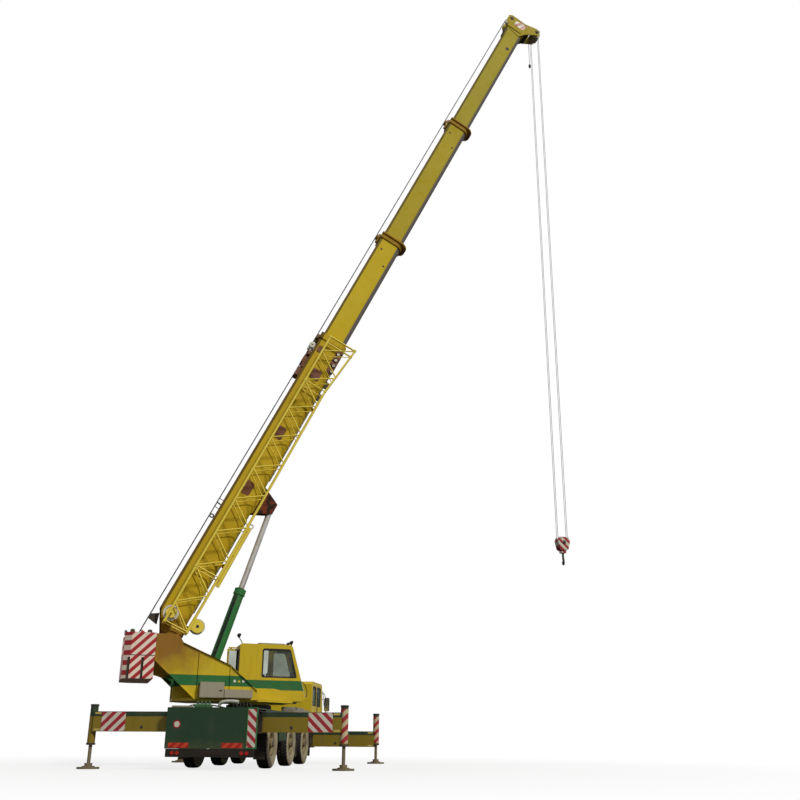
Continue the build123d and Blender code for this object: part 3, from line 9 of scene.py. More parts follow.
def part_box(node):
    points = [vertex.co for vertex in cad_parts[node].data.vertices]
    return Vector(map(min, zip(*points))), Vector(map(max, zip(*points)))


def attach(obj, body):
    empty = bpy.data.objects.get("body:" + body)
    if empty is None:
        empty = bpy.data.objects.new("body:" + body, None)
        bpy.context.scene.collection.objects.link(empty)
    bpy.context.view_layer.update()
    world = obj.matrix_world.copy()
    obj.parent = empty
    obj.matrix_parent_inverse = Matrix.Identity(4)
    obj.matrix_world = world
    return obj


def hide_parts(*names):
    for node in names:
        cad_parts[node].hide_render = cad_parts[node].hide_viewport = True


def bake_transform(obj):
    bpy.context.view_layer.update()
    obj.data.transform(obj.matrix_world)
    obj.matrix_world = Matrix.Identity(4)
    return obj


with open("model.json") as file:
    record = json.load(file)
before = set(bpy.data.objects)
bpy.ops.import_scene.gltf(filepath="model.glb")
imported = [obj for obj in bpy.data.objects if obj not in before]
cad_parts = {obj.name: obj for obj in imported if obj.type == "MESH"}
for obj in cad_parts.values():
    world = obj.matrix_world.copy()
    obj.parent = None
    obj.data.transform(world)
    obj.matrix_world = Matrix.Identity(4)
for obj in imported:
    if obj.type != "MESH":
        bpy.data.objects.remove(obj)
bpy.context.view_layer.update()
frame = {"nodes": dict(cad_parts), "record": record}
nodes = frame["nodes"]
joints = {joint["name"]: joint for joint in frame["record"]["behaviour"]["joints"]}


# Carrier frame and axles. Welded box rails and cast beams under dull dark enamel, brown with road dirt
# low down. The rear axle on the ground is the carrier's own starting point: x forward, y to its left, z
# up.
def middle(node):
    """The middle of a CAD node's box."""
    low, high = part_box(node)
    return (Vector(low) + Vector(high)) / 2


rear_axle = (middle("tyre_rear_left") + middle("tyre_rear_right")) / 2
carrier_origin = np.array([rear_axle.x, rear_axle.y, 0.0])


def on_carrier(points):
    """Carrier coordinates to the row frame: one shift."""
    return np.asarray(points, float) + carrier_origin


def at(to_frame, *place):
    """One place in a frame's own coordinates, to the row frame."""
    return to_frame([place])[0]


def linear(red, green, blue):
    """A colour as the eye reads it, 0 to 255, to the linear values that a shader takes."""
    code = np.array([red, green, blue]) / 255
    value = np.where(code <= 0.04045, code / 12.92, ((code + 0.055) / 1.055) ** 2.4)
    return (*value.tolist(), 1.0)


def fill_in(tree, made, inputs):
    """A node's inputs, each set to a value or linked from another socket."""
    for key, value in dict(inputs).items():
        if isinstance(value, bpy.types.NodeSocket):
            tree.links.new(value, made.inputs[key])
        else:
            made.inputs[key].default_value = value


def add(tree, kind, inputs=(), **settings):
    """One shader node: its settings, then its inputs."""
    made = tree.nodes.new(kind)
    for key, value in settings.items():
        setattr(made, key, value)
    fill_in(tree, made, inputs)
    return made


def mixed(tree, factor, first, second):
    """Colour that goes from first to second with factor."""
    return add(tree, "ShaderNodeMix", {0: factor, 6: first, 7: second}, data_type="RGBA").outputs[2]


def ramp(tree, value, low, high):
    """Zero below low, one above high, straight between them."""
    return add(tree, "ShaderNodeMapRange", {"Value": value, "From Min": low, "From Max": high}).outputs[0]


def product(tree, first, second):
    """Two numbers multiplied."""
    return add(tree, "ShaderNodeMath", {0: first, 1: second}, operation="MULTIPLY").outputs[0]


def total(tree, first, second):
    """Two numbers added."""
    return add(tree, "ShaderNodeMath", {0: first, 1: second}, operation="ADD").outputs[0]


def component(tree, vector, axis):
    """One component of a vector: X, Y or Z."""
    return add(tree, "ShaderNodeSeparateXYZ", {"Vector": vector}).outputs[axis]


def measured(tree, place, other, operation):
    """A vector's dot product with, or distance from, another one."""
    return add(tree, "ShaderNodeVectorMath", {0: place, 1: other}, operation=operation).outputs["Value"]


def noise(tree, place, scale, detail=4.0, stretch=(1, 1, 1)):
    """Cloudy noise on the piece's own coordinates, finer with scale, drawn out by stretch."""
    moved = add(tree, "ShaderNodeMapping", {"Vector": place, "Scale": stretch}).outputs[0]
    return add(tree, "ShaderNodeTexNoise", {"Vector": moved, "Scale": scale, "Detail": detail}).outputs[0]


def blank_material(name):
    """An empty node material: its tree, its object coordinates and its shader."""
    material = bpy.data.materials.new(name)
    material.use_nodes = True
    tree = material.node_tree
    tree.nodes.clear()
    place = add(tree, "ShaderNodeTexCoord").outputs["Object"]
    shader = add(tree, "ShaderNodeBsdfPrincipled")
    add(tree, "ShaderNodeOutputMaterial", {"Surface": shader.outputs[0]})
    return material, tree, place, shader


def show(tree, surface):
    """Another surface than the shader's own goes to the material's output."""
    output = next(node for node in tree.nodes if node.type == "OUTPUT_MATERIAL")
    tree.links.new(surface, output.inputs["Surface"])


def speckled(name, scale, detail, edges, first, second, rough, metal=0.0):
    """Two colours in cloudy patches with one roughness, for rubber and rope."""
    material, tree, place, shader = blank_material(name)
    patch = ramp(tree, noise(tree, place, scale, detail), *edges)
    colour = mixed(tree, patch, linear(*first), linear(*second))
    fill_in(tree, shader, {"Base Color": colour, "Metallic": metal, "Roughness": rough})
    return material


dust = linear(126, 108, 78)
grime = linear(48, 36, 24)


def enamel(name, paint, dirt=0.35, rough=0.42, low_dirt=None, wear=0.5, bare=(70, 62, 54), gloss=0.30):
    """Sprayed enamel: cloudy fading, dirt in patches and runs, chipped edges, orange-peel bump."""
    material, tree, place, shader = blank_material(name)
    colour = paint(tree, place) if callable(paint) else linear(*paint)
    faded = mixed(tree, product(tree, noise(tree, place, 0.7), 0.10), colour, dust)
    patch = ramp(tree, noise(tree, place, 3.1, 9.0), 0.52, 0.84)
    runs = ramp(tree, noise(tree, place, 3.4, 6.0, (3.0, 3.0, 0.30)), 0.54, 0.78)
    dirty = mixed(tree, product(tree, patch, dirt * 0.55), faded, dust)
    dirty = mixed(tree, product(tree, runs, dirt * 0.65), dirty, grime)
    if low_dirt:
        height = component(tree, place, "Z")
        low = ramp(tree, height, low_dirt[1], low_dirt[0])
        splash = product(tree, low, ramp(tree, noise(tree, place, 5.0, 8.0), 0.30, 0.62))
        dirty = mixed(tree, product(tree, splash, 0.45), dirty, dust)
    normal = add(tree, "ShaderNodeNewGeometry").outputs["Normal"]
    rounded = add(tree, "ShaderNodeBevel", {"Radius": 0.012}, samples=4).outputs[0]
    turn = measured(tree, normal, rounded, "DOT_PRODUCT")
    edge = product(tree, ramp(tree, turn, 0.97, 0.86), ramp(tree, noise(tree, place, 9.0, 6.0), 0.42, 0.62))
    dirty = mixed(tree, product(tree, edge, wear), dirty, linear(*bare))
    shine = add(
        tree, "ShaderNodeMapRange", {"Value": patch, "To Min": rough, "To Max": rough + 0.35}
    ).outputs[0]
    peel = noise(tree, place, 90.0, 2.0)
    bump = add(tree, "ShaderNodeBump", {"Strength": 0.06, "Distance": 0.004, "Height": peel}).outputs[0]
    fill_in(
        tree, shader, {"Base Color": dirty, "Roughness": shine, "Normal": bump, "Specular IOR Level": gloss}
    )
    return material


def finish_node(node, material):
    """A CAD node keeps its shape and takes this finish."""
    mesh = nodes[node].data
    mesh.materials.clear()
    mesh.materials.append(material)


frame_enamel = enamel("frame_enamel", (38, 36, 34), 0.5, 0.55, (0.5, 1.3))
for part in ("chassis_frame", "axles"):
    finish_node(part, frame_enamel)
finish_node("rear_bumper", enamel("bumper_enamel", (26, 25, 24), 0.15, 0.5))
finish_node("engine", enamel("engine_enamel", (74, 78, 76), 0.6, 0.5))
knuckle_iron = enamel("knuckle_iron", (58, 50, 42), 0.6, 0.6, (0.3, 1.2))
for part in ("front_left", "front_right", "rear_left", "rear_right"):
    finish_node("knuckle_" + part, knuckle_iron)


# Wheels. Wide single tyres with staggered tread blocks on dished steel rims, both dull with pale road
# dust. Each tyre is one turned skin whose crown and shoulders are cut by the tread; nuts and a hub cap
# close each rim.
def mesh_piece(name, shapes, material, body, bevel=0.0, smooth=True):
    """One object from (points, faces) pairs, at the origin, riding on a body."""
    points, faces, start = [], [], 0
    for shape_points, shape_faces in shapes:
        points.append(np.asarray(shape_points, float))
        faces += [[index + start for index in face] for face in shape_faces]
        start += len(shape_points)
    mesh = bpy.data.meshes.new(name)
    mesh.from_pydata(np.concatenate(points).tolist(), [], faces)
    work = bmesh.new()
    work.from_mesh(mesh)
    bmesh.ops.remove_doubles(work, verts=work.verts, dist=1e-5)
    bmesh.ops.recalc_face_normals(work, faces=work.faces)
    work.to_mesh(mesh)
    work.free()
    mesh.materials.append(material)
    if smooth:
        mesh.shade_smooth()
    piece = bpy.data.objects.new(name, mesh)
    bpy.context.scene.collection.objects.link(piece)
    if bevel:
        round_off = piece.modifiers.new("rounded edges", "BEVEL")
        round_off.width = bevel
        round_off.segments = 2
        round_off.limit_method = "ANGLE"
        round_off.harden_normals = True
    elif smooth:
        mesh.set_sharp_from_angle(angle=0.7)
    if body:
        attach(piece, body)
    return piece


def grid_faces(rows, columns, wrap_rows=False, wrap_columns=False, cap=False):
    """Four-cornered faces between neighbours on a grid, with the two end rings closed if cap."""
    index = np.arange(rows * columns).reshape(rows, columns)
    if wrap_rows:
        index = np.vstack([index, index[:1]])
    if wrap_columns:
        index = np.hstack([index, index[:, :1]])
    corners = (index[:-1, :-1], index[1:, :-1], index[1:, 1:], index[:-1, 1:])
    faces = np.stack(corners, axis=-1).reshape(-1, 4).tolist()
    if cap:
        faces += [list(range(columns)), list(range((rows - 1) * columns, rows * columns))]
    return faces


def frame_axes(direction):
    """Two unit vectors square to a direction and to each other, for each row of directions."""
    along = np.asarray(direction, float)
    along = along / np.linalg.norm(along, axis=-1, keepdims=True)
    helper = np.where(np.abs(along[..., 2:3]) < 0.9, np.array([0.0, 0.0, 1.0]), np.array([1.0, 0.0, 0.0]))
    side = np.cross(along, helper)
    side = side / np.linalg.norm(side, axis=-1, keepdims=True)
    return side, np.cross(along, side)


def turned(profile, centre, axis, sides=48):
    """A profile of (radius, distance along the axis) pairs carried once round the axis, open ends closed."""
    profile = np.asarray(profile, float)
    ring_shaped = np.allclose(profile[0], profile[-1])
    if profile[0, 0] > 0 and not ring_shaped:
        profile = np.vstack([[0.0, profile[0, 1]], profile])
    if profile[-1, 0] > 0 and not ring_shaped:
        profile = np.vstack([profile, [0.0, profile[-1, 1]]])
    axis = np.asarray(axis, float) / np.linalg.norm(axis)
    side, up = frame_axes(axis)
    angle = np.linspace(0, 2 * np.pi, sides, endpoint=False)[None, :, None]
    ring = np.cos(angle) * side + np.sin(angle) * up
    points = np.asarray(centre, float) + profile[:, :1, None] * ring + profile[:, 1:, None] * axis
    return points.reshape(-1, 3), grid_faces(len(profile), sides, wrap_columns=True)


def button(radius, height):
    """The profile of a flat round plug: its wall, then its face."""
    return [(radius, 0), (radius, height), (0, height)]


def band(inner, outer, start, end):
    """The profile of a square-edged ring."""
    return [(inner, start), (outer, start), (outer, end), (inner, end), (inner, start)]


def tyre_skin(centre, side):
    """Tyre: a rounded section turned round the axle; tread grooves push the crown in by a staggered wave."""
    half, outer, bead = 0.1875, 0.685, 0.345
    crown, lip, groove_depth = 0.62, 0.86, 0.016
    turn = np.linspace(0, 2 * np.pi, 160, endpoint=False)
    sweep = np.linspace(-1.0, 1.0, 25)
    wide = np.abs(sweep)
    across = np.clip(1.02 * half * np.sign(sweep) * (1 - (1 - wide) ** 1.35), -half, half)
    flank = np.clip((wide - crown) / (1 - crown), 0, 1)
    across = np.where(flank > lip, across * (1 - 0.22 * (flank - lip) / (1 - lip)), across)
    wall = (outer - groove_depth - bead) * np.sqrt(np.clip(1 - flank**2.4, 0, 1))
    radius = np.where(flank > 0, bead + wall, outer - 0.012 * (wide / crown) ** 2)[:, None]
    wide, sign = wide[:, None], np.sign(sweep)[:, None]
    wave = np.sin(turn * 40 + sign * 1.57 + 5.0 * wide)
    groove = (wave < -0.35) | (np.abs(wide - 0.25) < 0.045)
    radius = radius - np.where((wide < 0.70) & groove, groove_depth, 0.0)
    points = np.stack(
        [
            centre[0] + radius * np.cos(turn),
            centre[1] + side * np.broadcast_to(across[:, None], radius.shape),
            centre[2] + radius * np.sin(turn),
        ],
        axis=-1,
    )
    return points.reshape(-1, 3), grid_faces(len(sweep), len(turn), wrap_rows=True, wrap_columns=True)


def ring_of(shape, centre, count, radius, axis=(0, 1, 0)):
    """Copies of a shape modelled at the origin, spread evenly on a circle."""
    points, faces = shape
    side, up = frame_axes(axis)
    angle = np.arange(count)[:, None] * 2 * np.pi / count
    places = np.asarray(centre) + radius * (np.cos(angle) * side + np.sin(angle) * up)
    return [(points + place, faces) for place in places]


rubber, tree, place, shader = blank_material("tyre_rubber")
facing = component(tree, add(tree, "ShaderNodeNewGeometry").outputs["Normal"], "Y")
flank = ramp(tree, add(tree, "ShaderNodeMath", {0: facing}, operation="ABSOLUTE").outputs[0], 0.35, 0.85)
patchy = add(
    tree, "ShaderNodeMapRange",
    {"Value": noise(tree, place, 4.0, 9.0), "From Min": 0.3, "From Max": 0.6, "To Min": 0.55},
).outputs[0]
dusty = product(tree, flank, patchy)
fill_in(
    tree,
    shader,
    {
        "Base Color": mixed(tree, dusty, linear(34, 32, 30), linear(168, 154, 124)),
        "Roughness": 0.85,
        "Normal": add(
            tree, "ShaderNodeBump", {"Strength": 0.15, "Distance": 0.004, "Height": noise(tree, place, 160.0)}
        ).outputs[0],
    },
)
rim_enamel = enamel("rim_enamel", (142, 124, 88), 0.75, 0.6, (0.1, 1.4), 0.7)
nut_steel = enamel("nut_steel", (92, 84, 72), 0.6, 0.5)
axle_places = [(end, side) for end in ("rear", "middle", "front") for side in ("left", "right")]
for end, side in axle_places:
    key = end + "_" + side
    centre = np.array(middle("tyre_" + key))
    outward = 1 if side == "left" else -1
    tyre = mesh_piece("tread_" + key, [tyre_skin(centre, outward)], rubber, "wheel_" + key)
    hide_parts("tyre_" + key)
    finish_node("rim_" + key, rim_enamel)
    face = centre + np.array([0, outward * 0.062, 0])
    nut = turned(
        [(0.0, 0.0), (0.019, 0.0), (0.019, 0.022), (0.011, 0.03), (0.0, 0.03)], (0, 0, 0), (0, outward, 0),
        6,
    )
    hub = turned(
        [(0.10, 0.098), (0.10, 0.128), (0.085, 0.142), (0.05, 0.148), (0.0, 0.15)], face, (0, outward, 0), 40
    )
    mesh_piece("nuts_" + key, [hub, *ring_of(nut, face, 10, 0.19)], nut_steel, "wheel_" + key)


# Deck, side boxes and rear board. Folded sheet under dark green enamel; the board carries blank markings:
# two barred reflectors, a red-rimmed disc, and a striped hazard board in its own frame at the right corner.
def prism(outline, axes, start, end, to_frame):
    """An outline in two of a frame's axes, carried straight along the third and closed at both ends."""
    outline = np.asarray(outline, float)
    first, second = ("xyz".index(letter) for letter in axes)
    rings = np.zeros((2, len(outline), 3))
    rings[:, :, first] = outline[:, 0]
    rings[:, :, second] = outline[:, 1]
    rings[0, :, 3 - first - second] = start
    rings[1, :, 3 - first - second] = end
    return to_frame(rings.reshape(-1, 3)), grid_faces(2, len(outline), wrap_columns=True, cap=True)


def rounded(a0, a1, b0, b1, radius, steps=5):
    """A rectangle with a quarter circle at each corner."""
    corner = np.arange(4)[:, None]
    angle = corner * np.pi / 2 + np.linspace(0, np.pi / 2, steps)[None, :]
    centre_a = np.where((corner == 0) | (corner == 3), max(a0, a1) - radius, min(a0, a1) + radius)
    centre_b = np.where(corner < 2, max(b0, b1) - radius, min(b0, b1) + radius)
    return np.stack(
        [centre_a + radius * np.cos(angle), centre_b + radius * np.sin(angle)], axis=-1
    ).reshape(-1, 2)


def slab(x0, x1, y0, y1, z0, z1, to_frame, radius=0.0):
    """A flat-sided block, its outline in x and z rounded if radius is given."""
    outline = rounded(x0, x1, z0, z1, radius) if radius else [(x0, z0), (x1, z0), (x1, z1), (x0, z1)]
    return prism(outline, "xz", y0, y1, to_frame)


def gasket(a0, a1, b0, b1, radius, width, axes, start, end, to_frame):
    """A rounded rectangular ring: an outer and an inner outline joined by four walls."""
    outer = rounded(a0, a1, b0, b1, radius)
    inner = rounded(a0 + width, a1 - width, b0 + width, b1 - width, max(radius - width, 0.01))
    first, second = ("xyz".index(letter) for letter in axes)
    rings = np.zeros((4, len(outer), 3))
    for row, (outline, depth) in enumerate(((outer, start), (outer, end), (inner, end), (inner, start))):
        rings[row, :, first] = outline[:, 0]
        rings[row, :, second] = outline[:, 1]
        rings[row, :, 3 - first - second] = depth
    return to_frame(rings.reshape(-1, 3)), grid_faces(4, len(outer), wrap_rows=True, wrap_columns=True)


def tube(path, radius, sides=12):
    """A round section carried along a path, with closed ends; one helper vector keeps it untwisted."""
    path = np.asarray(path, float)
    along = np.gradient(path, axis=0)
    along = along / np.linalg.norm(along, axis=1, keepdims=True)
    helper = np.eye(3)[np.argmin(np.abs(along).max(axis=0))]
    side = np.cross(along, helper)
    side = side / np.linalg.norm(side, axis=1, keepdims=True)
    up = np.cross(along, side)
    angle = np.linspace(0, 2 * np.pi, sides, endpoint=False)[None, :, None]
    ring = np.cos(angle) * side[:, None, :] + np.sin(angle) * up[:, None, :]
    points = path[:, None, :] + np.reshape(radius, (-1, 1, 1)) * ring
    return points.reshape(-1, 3), grid_faces(len(path), sides, wrap_columns=True, cap=True)


def flow(points, steps=28):
    """A smooth line between two ends: control points weighted by Bernstein's polynomials."""
    points = np.asarray(points, float)
    count = len(points) - 1
    t = np.linspace(0, 1, steps)[:, None]
    weights = [
        np.prod(np.arange(count, count - k, -1)) / np.prod(np.arange(1, k + 1)) for k in range(count + 1)
    ]
    return sum(w * t**k * (1 - t) ** (count - k) * p for k, (w, p) in enumerate(zip(weights, points)))


def bars(first, second, across, pitch):
    """A paint of equal bars of two colours, square to a direction, one pair every pitch."""

    def paint(tree, place):
        direction = np.asarray(across, float) / np.linalg.norm(across) / pitch
        along = measured(tree, place, direction.tolist(), "DOT_PRODUCT")
        part = add(tree, "ShaderNodeMath", {0: along}, operation="FRACT").outputs[0]
        return mixed(tree, ramp(tree, part, 0.495, 0.505), linear(*first), linear(*second))

    return paint


hazard_red = (168, 36, 52)
hazard_white = (214, 208, 192)
deck_green = enamel("deck_green", (28, 64, 42), 0.22, 0.42, (0.4, 0.8))
for part in ("deck", "side_tanks", "rear_panel", "front_bumper"):
    finish_node(part, deck_green)
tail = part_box("rear_panel")[0][0] - carrier_origin[0]
board_low, board_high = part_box("rear_panel")[0][2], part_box("rear_panel")[1][2]
reflector = enamel("reflector", bars((176, 26, 22), (206, 70, 40), (0, 1, 1), 0.16), 0.12, 0.25, wear=0.0)
mesh_piece(
    "reflectors",
    [
        slab(tail - 0.006, tail + 0.002, y, y - 0.56, board_low + 0.02, board_low + 0.15, on_carrier)
        for y in (1.15, -0.32)
    ],
    reflector,
    "carrier",
    bevel=0.002,
)
white_film = enamel("white_film", hazard_white, 0.3, 0.4, wear=0.0)
red_film = enamel("red_film", hazard_red, 0.3, 0.4, wear=0.0)
disc_place = at(on_carrier, tail - 0.002, 0.95, 1.17)
mesh_piece(
    "rear_disc", [turned(button(0.075, 0.004), disc_place, (-1, 0, 0))], white_film, "carrier",
)
mesh_piece(
    "rear_disc_rim",
    [turned(band(0.075, 0.105, 0, 0.005), disc_place, (-1, 0, 0))],
    red_film,
    "carrier",
)
corner_film = enamel("corner_film", bars(hazard_red, hazard_white, (0, 1, -1), 0.19), 0.25, 0.35, wear=0.0)
mesh_piece(
    "corner_board",
    [
        prism(
            [
                (-0.995, board_low + 0.04), (-1.25, board_low + 0.04), (-1.25, board_high - 0.04),
                (-0.995, board_high - 0.04),
            ],
            "yz", tail - 0.004, tail + 0.034, on_carrier,
        )
    ],
    corner_film,
    "carrier",
)
board_green = enamel("board_green", (44, 120, 62), 0.3, 0.4)
mesh_piece(
    "corner_board_frame",
    [gasket(-1.262, -0.98, board_low, board_high, 0.012, 0.024, "yz", tail - 0.012, tail + 0.03, on_carrier)],
    board_green,
    "carrier",
    bevel=0.002,
)
flap_rubber = speckled("flap_rubber", 4.0, 8.0, (0.42, 0.75), (26, 25, 24), (84, 74, 60), 0.8)
flaps = []
for end_x in (-0.86, 3.46, 5.82):
    for side in (1, -1):
        flap = rounded(side * 0.90, side * 1.24, 0.26, 1.30, 0.03)
        flaps.append(prism(flap, "yz", end_x - 0.006, end_x + 0.006, on_carrier))
mesh_piece("mud_flaps", flaps, flap_rubber, "carrier", bevel=0.003)
plate_blank = enamel("plate_blank", (40, 26, 24), 0.2, 0.5, wear=0.1)
sill = [
    slab(
        tail + 0.004, tail + 0.03, 1.22, -1.22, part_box("rear_bumper")[1][2] - 0.004, board_low + 0.004,
        on_carrier,
    )
]
mesh_piece("rear_sill", sill, flap_rubber, "carrier")
mesh_piece(
    "blank_plate",
    [slab(tail - 0.016, tail - 0.010, 0.26, -0.26, 0.385, 0.495, on_carrier)], plate_blank, "carrier",
    bevel=0.002,
)


# Pipes and fittings on the deck. A bent pale exhaust pipe, a green valve block, black hydraulic hoses
# that run forward to the slewing ring, and low grey lockers along both edges.
pale_steel = enamel("pale_steel", (196, 194, 184), 0.5, 0.45)
exhaust_line = flow(
    [
        (-1.62, -0.06, 1.66), (-1.66, -0.10, 1.80), (-1.68, -0.22, 1.77), (-1.70, -0.45, 1.80),
        (-1.70, -0.62, 1.76),
    ]
)
mesh_piece("exhaust_pipe", [tube(on_carrier(exhaust_line), 0.045, 20)], pale_steel, "carrier")
valve_green = enamel("valve_green", (58, 104, 66), 0.45, 0.45)
deck_top, valve_top = 1.602, 1.70
valves = [slab(-1.78, -1.50, 0.60, 0.16, deck_top, valve_top, on_carrier, 0.02)]
valves += [
    turned(
        [(0.0, 0.0), (0.028, 0.0), (0.028, 0.09), (0.0, 0.09)],
        at(on_carrier, -1.64, 0.54 - 0.11 * k, valve_top), (0, 0, 1), 16,
    )
    for k in range(4)
]
mesh_piece("valve_block", valves, valve_green, "carrier", bevel=0.006)
hoses = []
for k in range(6):
    y = -0.42 - 0.10 * k
    ends = [
        (-1.50, y, 1.61), (-1.60, y - 0.05, 1.86), (-1.30, y + 0.16, 1.80 - 0.02 * k),
        (-0.30, 0.4 * y, 1.66), (0.95, 0.25 * y, 1.63),
    ]
    hoses.append(tube(on_carrier(flow(ends)), 0.017 + 0.003 * (k % 2), 10))
for k in range(3):
    ends = [
        (-1.52, 0.62 + 0.12 * k, 1.61), (-1.45, 0.60 + 0.12 * k, 1.78), (-0.9, 0.3, 1.72), (0.95, 0.2, 1.63)
    ]
    hoses.append(tube(on_carrier(flow(ends)), 0.016, 10))
mesh_piece("deck_hoses", hoses, flap_rubber, "carrier")
locker_grey = enamel("locker_grey", (150, 144, 128), 0.55, 0.5)
locker_sizes = (
    (-1.92, -1.45, 1.18, 0.72, 1.66, 0.015),
    (2.9, 4.6, -1.22, -0.80, 1.80, 0.04),
    (4.66, 5.6, -1.22, -0.80, 1.76, 0.04),
    (2.9, 5.6, 1.22, 0.80, 1.78, 0.04),
)
lockers = [
    slab(x0, x1, y0, y1, deck_top, top, on_carrier, curve) for x0, x1, y0, y1, top, curve in locker_sizes
]
mesh_piece("deck_lockers", lockers, locker_grey, "carrier", bevel=0.006)


# Outriggers. Four sliding box beams in olive yellow with a green band along the top, a jack tube on each
# end, and a round foot. A striped film covers the rear beams' outer ends, and pale straps lie along every
# beam's end.
outrigger_names = ("rear_left", "rear_right", "front_left", "front_right")


def beam_paint(edge):
    """Olive yellow, with dark green above a line near the beam's top."""

    def paint(tree, place):
        height = component(tree, place, "Z")
        return mixed(
            tree, ramp(tree, height, edge - 0.003, edge + 0.003), linear(136, 116, 28), linear(34, 58, 42)
        )

    return paint


def box_line(a0, a1, b0, b1):
    """The four corners of a rectangle."""
    return [(a0, b0), (a1, b0), (a1, b1), (a0, b1)]


def on_both_faces(outline, x):
    """A thin film of one outline on the front and the back of the beam whose middle is at x."""
    near, far = beam_half + film_gap, beam_half + film_far
    return [prism(outline, "yz", x + face * near, x + face * far, on_carrier) for face in (-1, 1)]


beam_half, beam_height, jack_top = 0.150, 0.530, 1.66
beam_floors = {"rear": 0.975, "front": 0.560}
film_gap, film_far = 0.0005, 0.004
beam_enamels = {
    end: enamel("beam_enamel_" + end, beam_paint(edge), 0.5, 0.45, None, 0.7)
    for end, edge in (("rear", 1.375), ("front", 0.960))
}
jack_iron = enamel("jack_iron", (122, 112, 88), 0.65, 0.5, (0.0, 0.6), 0.7)
strap_pale = enamel("strap_pale", (196, 176, 96), 0.5, 0.45)
socket_iron = enamel("socket_iron", (60, 54, 48), 0.6, 0.6)
for name in outrigger_names:
    low, high = (np.array(corner) - carrier_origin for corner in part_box("beam_" + name))
    side = 1 if "left" in name else -1
    jack_y = middle("jack_" + name).y - carrier_origin[1]
    x = (low[0] + high[0]) / 2
    end = name.split("_")[0]
    z0, z1 = beam_floors[end], beam_floors[end] + beam_height
    finish_node("beam_" + name, beam_enamels[end])
    finish_node("jack_" + name, jack_iron)
    film_start = jack_y - side * 0.30
    if "rear" in name:
        film = enamel("film_" + name, bars(hazard_red, hazard_white, (0, 1, side), 0.20), 0.35, 0.4, wear=0.0)
        outline = box_line(film_start, jack_y - side * 0.98, z0 + 0.012, z1 - 0.012)
        mesh_piece("film_" + name, on_both_faces(outline, x), film, "beam_" + name)
    straps = []
    for level in (z0 + 0.02, z1 - 0.075):
        outline = box_line(jack_y - side * 0.10, film_start + side * 0.02, level, level + 0.055)
        straps += on_both_faces(outline, x)
    mesh_piece("straps_" + name, straps, strap_pale, "beam_" + name)
    cap = turned(
        [(0.112, 0), (0.118, 0.006), (0.118, 0.03), (0.10, 0.04), (0.0, 0.042)],
        at(on_carrier, x, jack_y, jack_top), (0, 0, 1), 32,
    )
    collar = turned(band(0.105, 0.122, 0, 0.05), at(on_carrier, x, jack_y, 0.625), (0, 0, 1), 32)
    mesh_piece("jack_head_" + name, [cap, collar], socket_iron, "beam_" + name)
    lug = turned(
        [(0.0, 0.0), (0.045, 0.0), (0.045, 0.003), (0.0, 0.0035)],
        at(on_carrier, x - beam_half, jack_y - side * 1.45, z0 + 0.12), (-1, 0, 0), 20,
    )
    mesh_piece("beam_hole_" + name, [lug], socket_iron, "beam_" + name)
jack_film = enamel("jack_film", bars(hazard_red, (204, 188, 150), (0, 1, 1), 0.20), 0.45, 0.45, wear=0.0)
for name in ("rear_right", "front_right"):
    jack_x, jack_y, _ = np.array(middle("jack_" + name)) - carrier_origin
    sleeve_line = band(0.1055, 0.1075, 0, 0.90)
    sleeve = turned(sleeve_line, at(on_carrier, jack_x, jack_y, 0.70), (0, 0, 1), 40)
    mesh_piece("jack_film_" + name, [sleeve], jack_film, "beam_" + name)


# Driver's cab. Pressed sheet in yellow enamel with black rubber round every pane, a door each side,
# long mirrors on bent arms, wipers, steps and grab rails. Two cloth seats stand behind a moulded dash.
def cab_paint(tree, place):
    """Yellow over dark green, which starts below the door sill."""
    height = component(tree, place, "Z")
    return mixed(tree, ramp(tree, height, 1.300, 1.306), linear(34, 66, 44), linear(212, 184, 34))


cab_enamel = enamel("cab_enamel", cab_paint, 0.3, 0.38, (0.8, 1.6))
for part in ("driver_cab", "driver_door_left", "driver_door_right"):
    finish_node(part, cab_enamel)


def pane(name, tint=(206, 214, 210), see=0.80):
    """Tinted safety glass: mostly clear, a little dusty, with a sharp sheen."""
    material, tree, place, shader = blank_material(name)
    dusty = ramp(tree, noise(tree, place, 2.2, 8.0), 0.45, 0.8)
    clear = add(tree, "ShaderNodeBsdfTransparent", {"Color": linear(*tint)}).outputs[0]
    fill_in(tree, shader, {"Base Color": linear(120, 126, 124), "Roughness": 0.05, "Specular IOR Level": 0.9})
    share = add(tree, "ShaderNodeMapRange", {"Value": dusty, "To Min": see, "To Max": see - 0.14}).outputs[0]
    both = add(tree, "ShaderNodeMixShader", {0: share, 1: shader.outputs[0], 2: clear}).outputs[0]
    show(tree, both)
    return material


cab_glass = pane("cab_glass")
for part in ("driver_glass", "driver_door_pane_left", "driver_door_pane_right"):
    finish_node(part, cab_glass)
black_rubber = speckled("black_rubber", 6.0, 8.0, (0.5, 0.8), (22, 22, 22), (58, 54, 48), 0.7)
cab_x0, cab_x1 = (corner[0] - carrier_origin[0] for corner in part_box("driver_cab"))
wall = 1.210
for side, name in ((1, "left"), (-1, "right")):
    outer = side * (wall + 0.004)
    inner = side * (wall - 0.012)
    quarter, leaf = (
        gasket(x0, x1, 1.955, 2.645, 0.05, 0.032, "xz", inner, outer, on_carrier)
        for x0, x1 in ((6.155, 6.795), (6.945, 7.775))
    )
    mesh_piece("quarter_seal_" + name, [quarter], black_rubber, "carrier")
    sill = slab(6.94, 7.78, side * wall, side * (wall + 0.006), 1.62, 1.66, on_carrier, 0.015)
    mesh_piece("door_seal_" + name, [leaf, sill], black_rubber, "driver_door_" + name)
rear_seal = gasket(-0.675, 0.675, 2.015, 2.605, 0.06, 0.034, "yz", cab_x0 + 0.02, cab_x0 - 0.004, on_carrier)
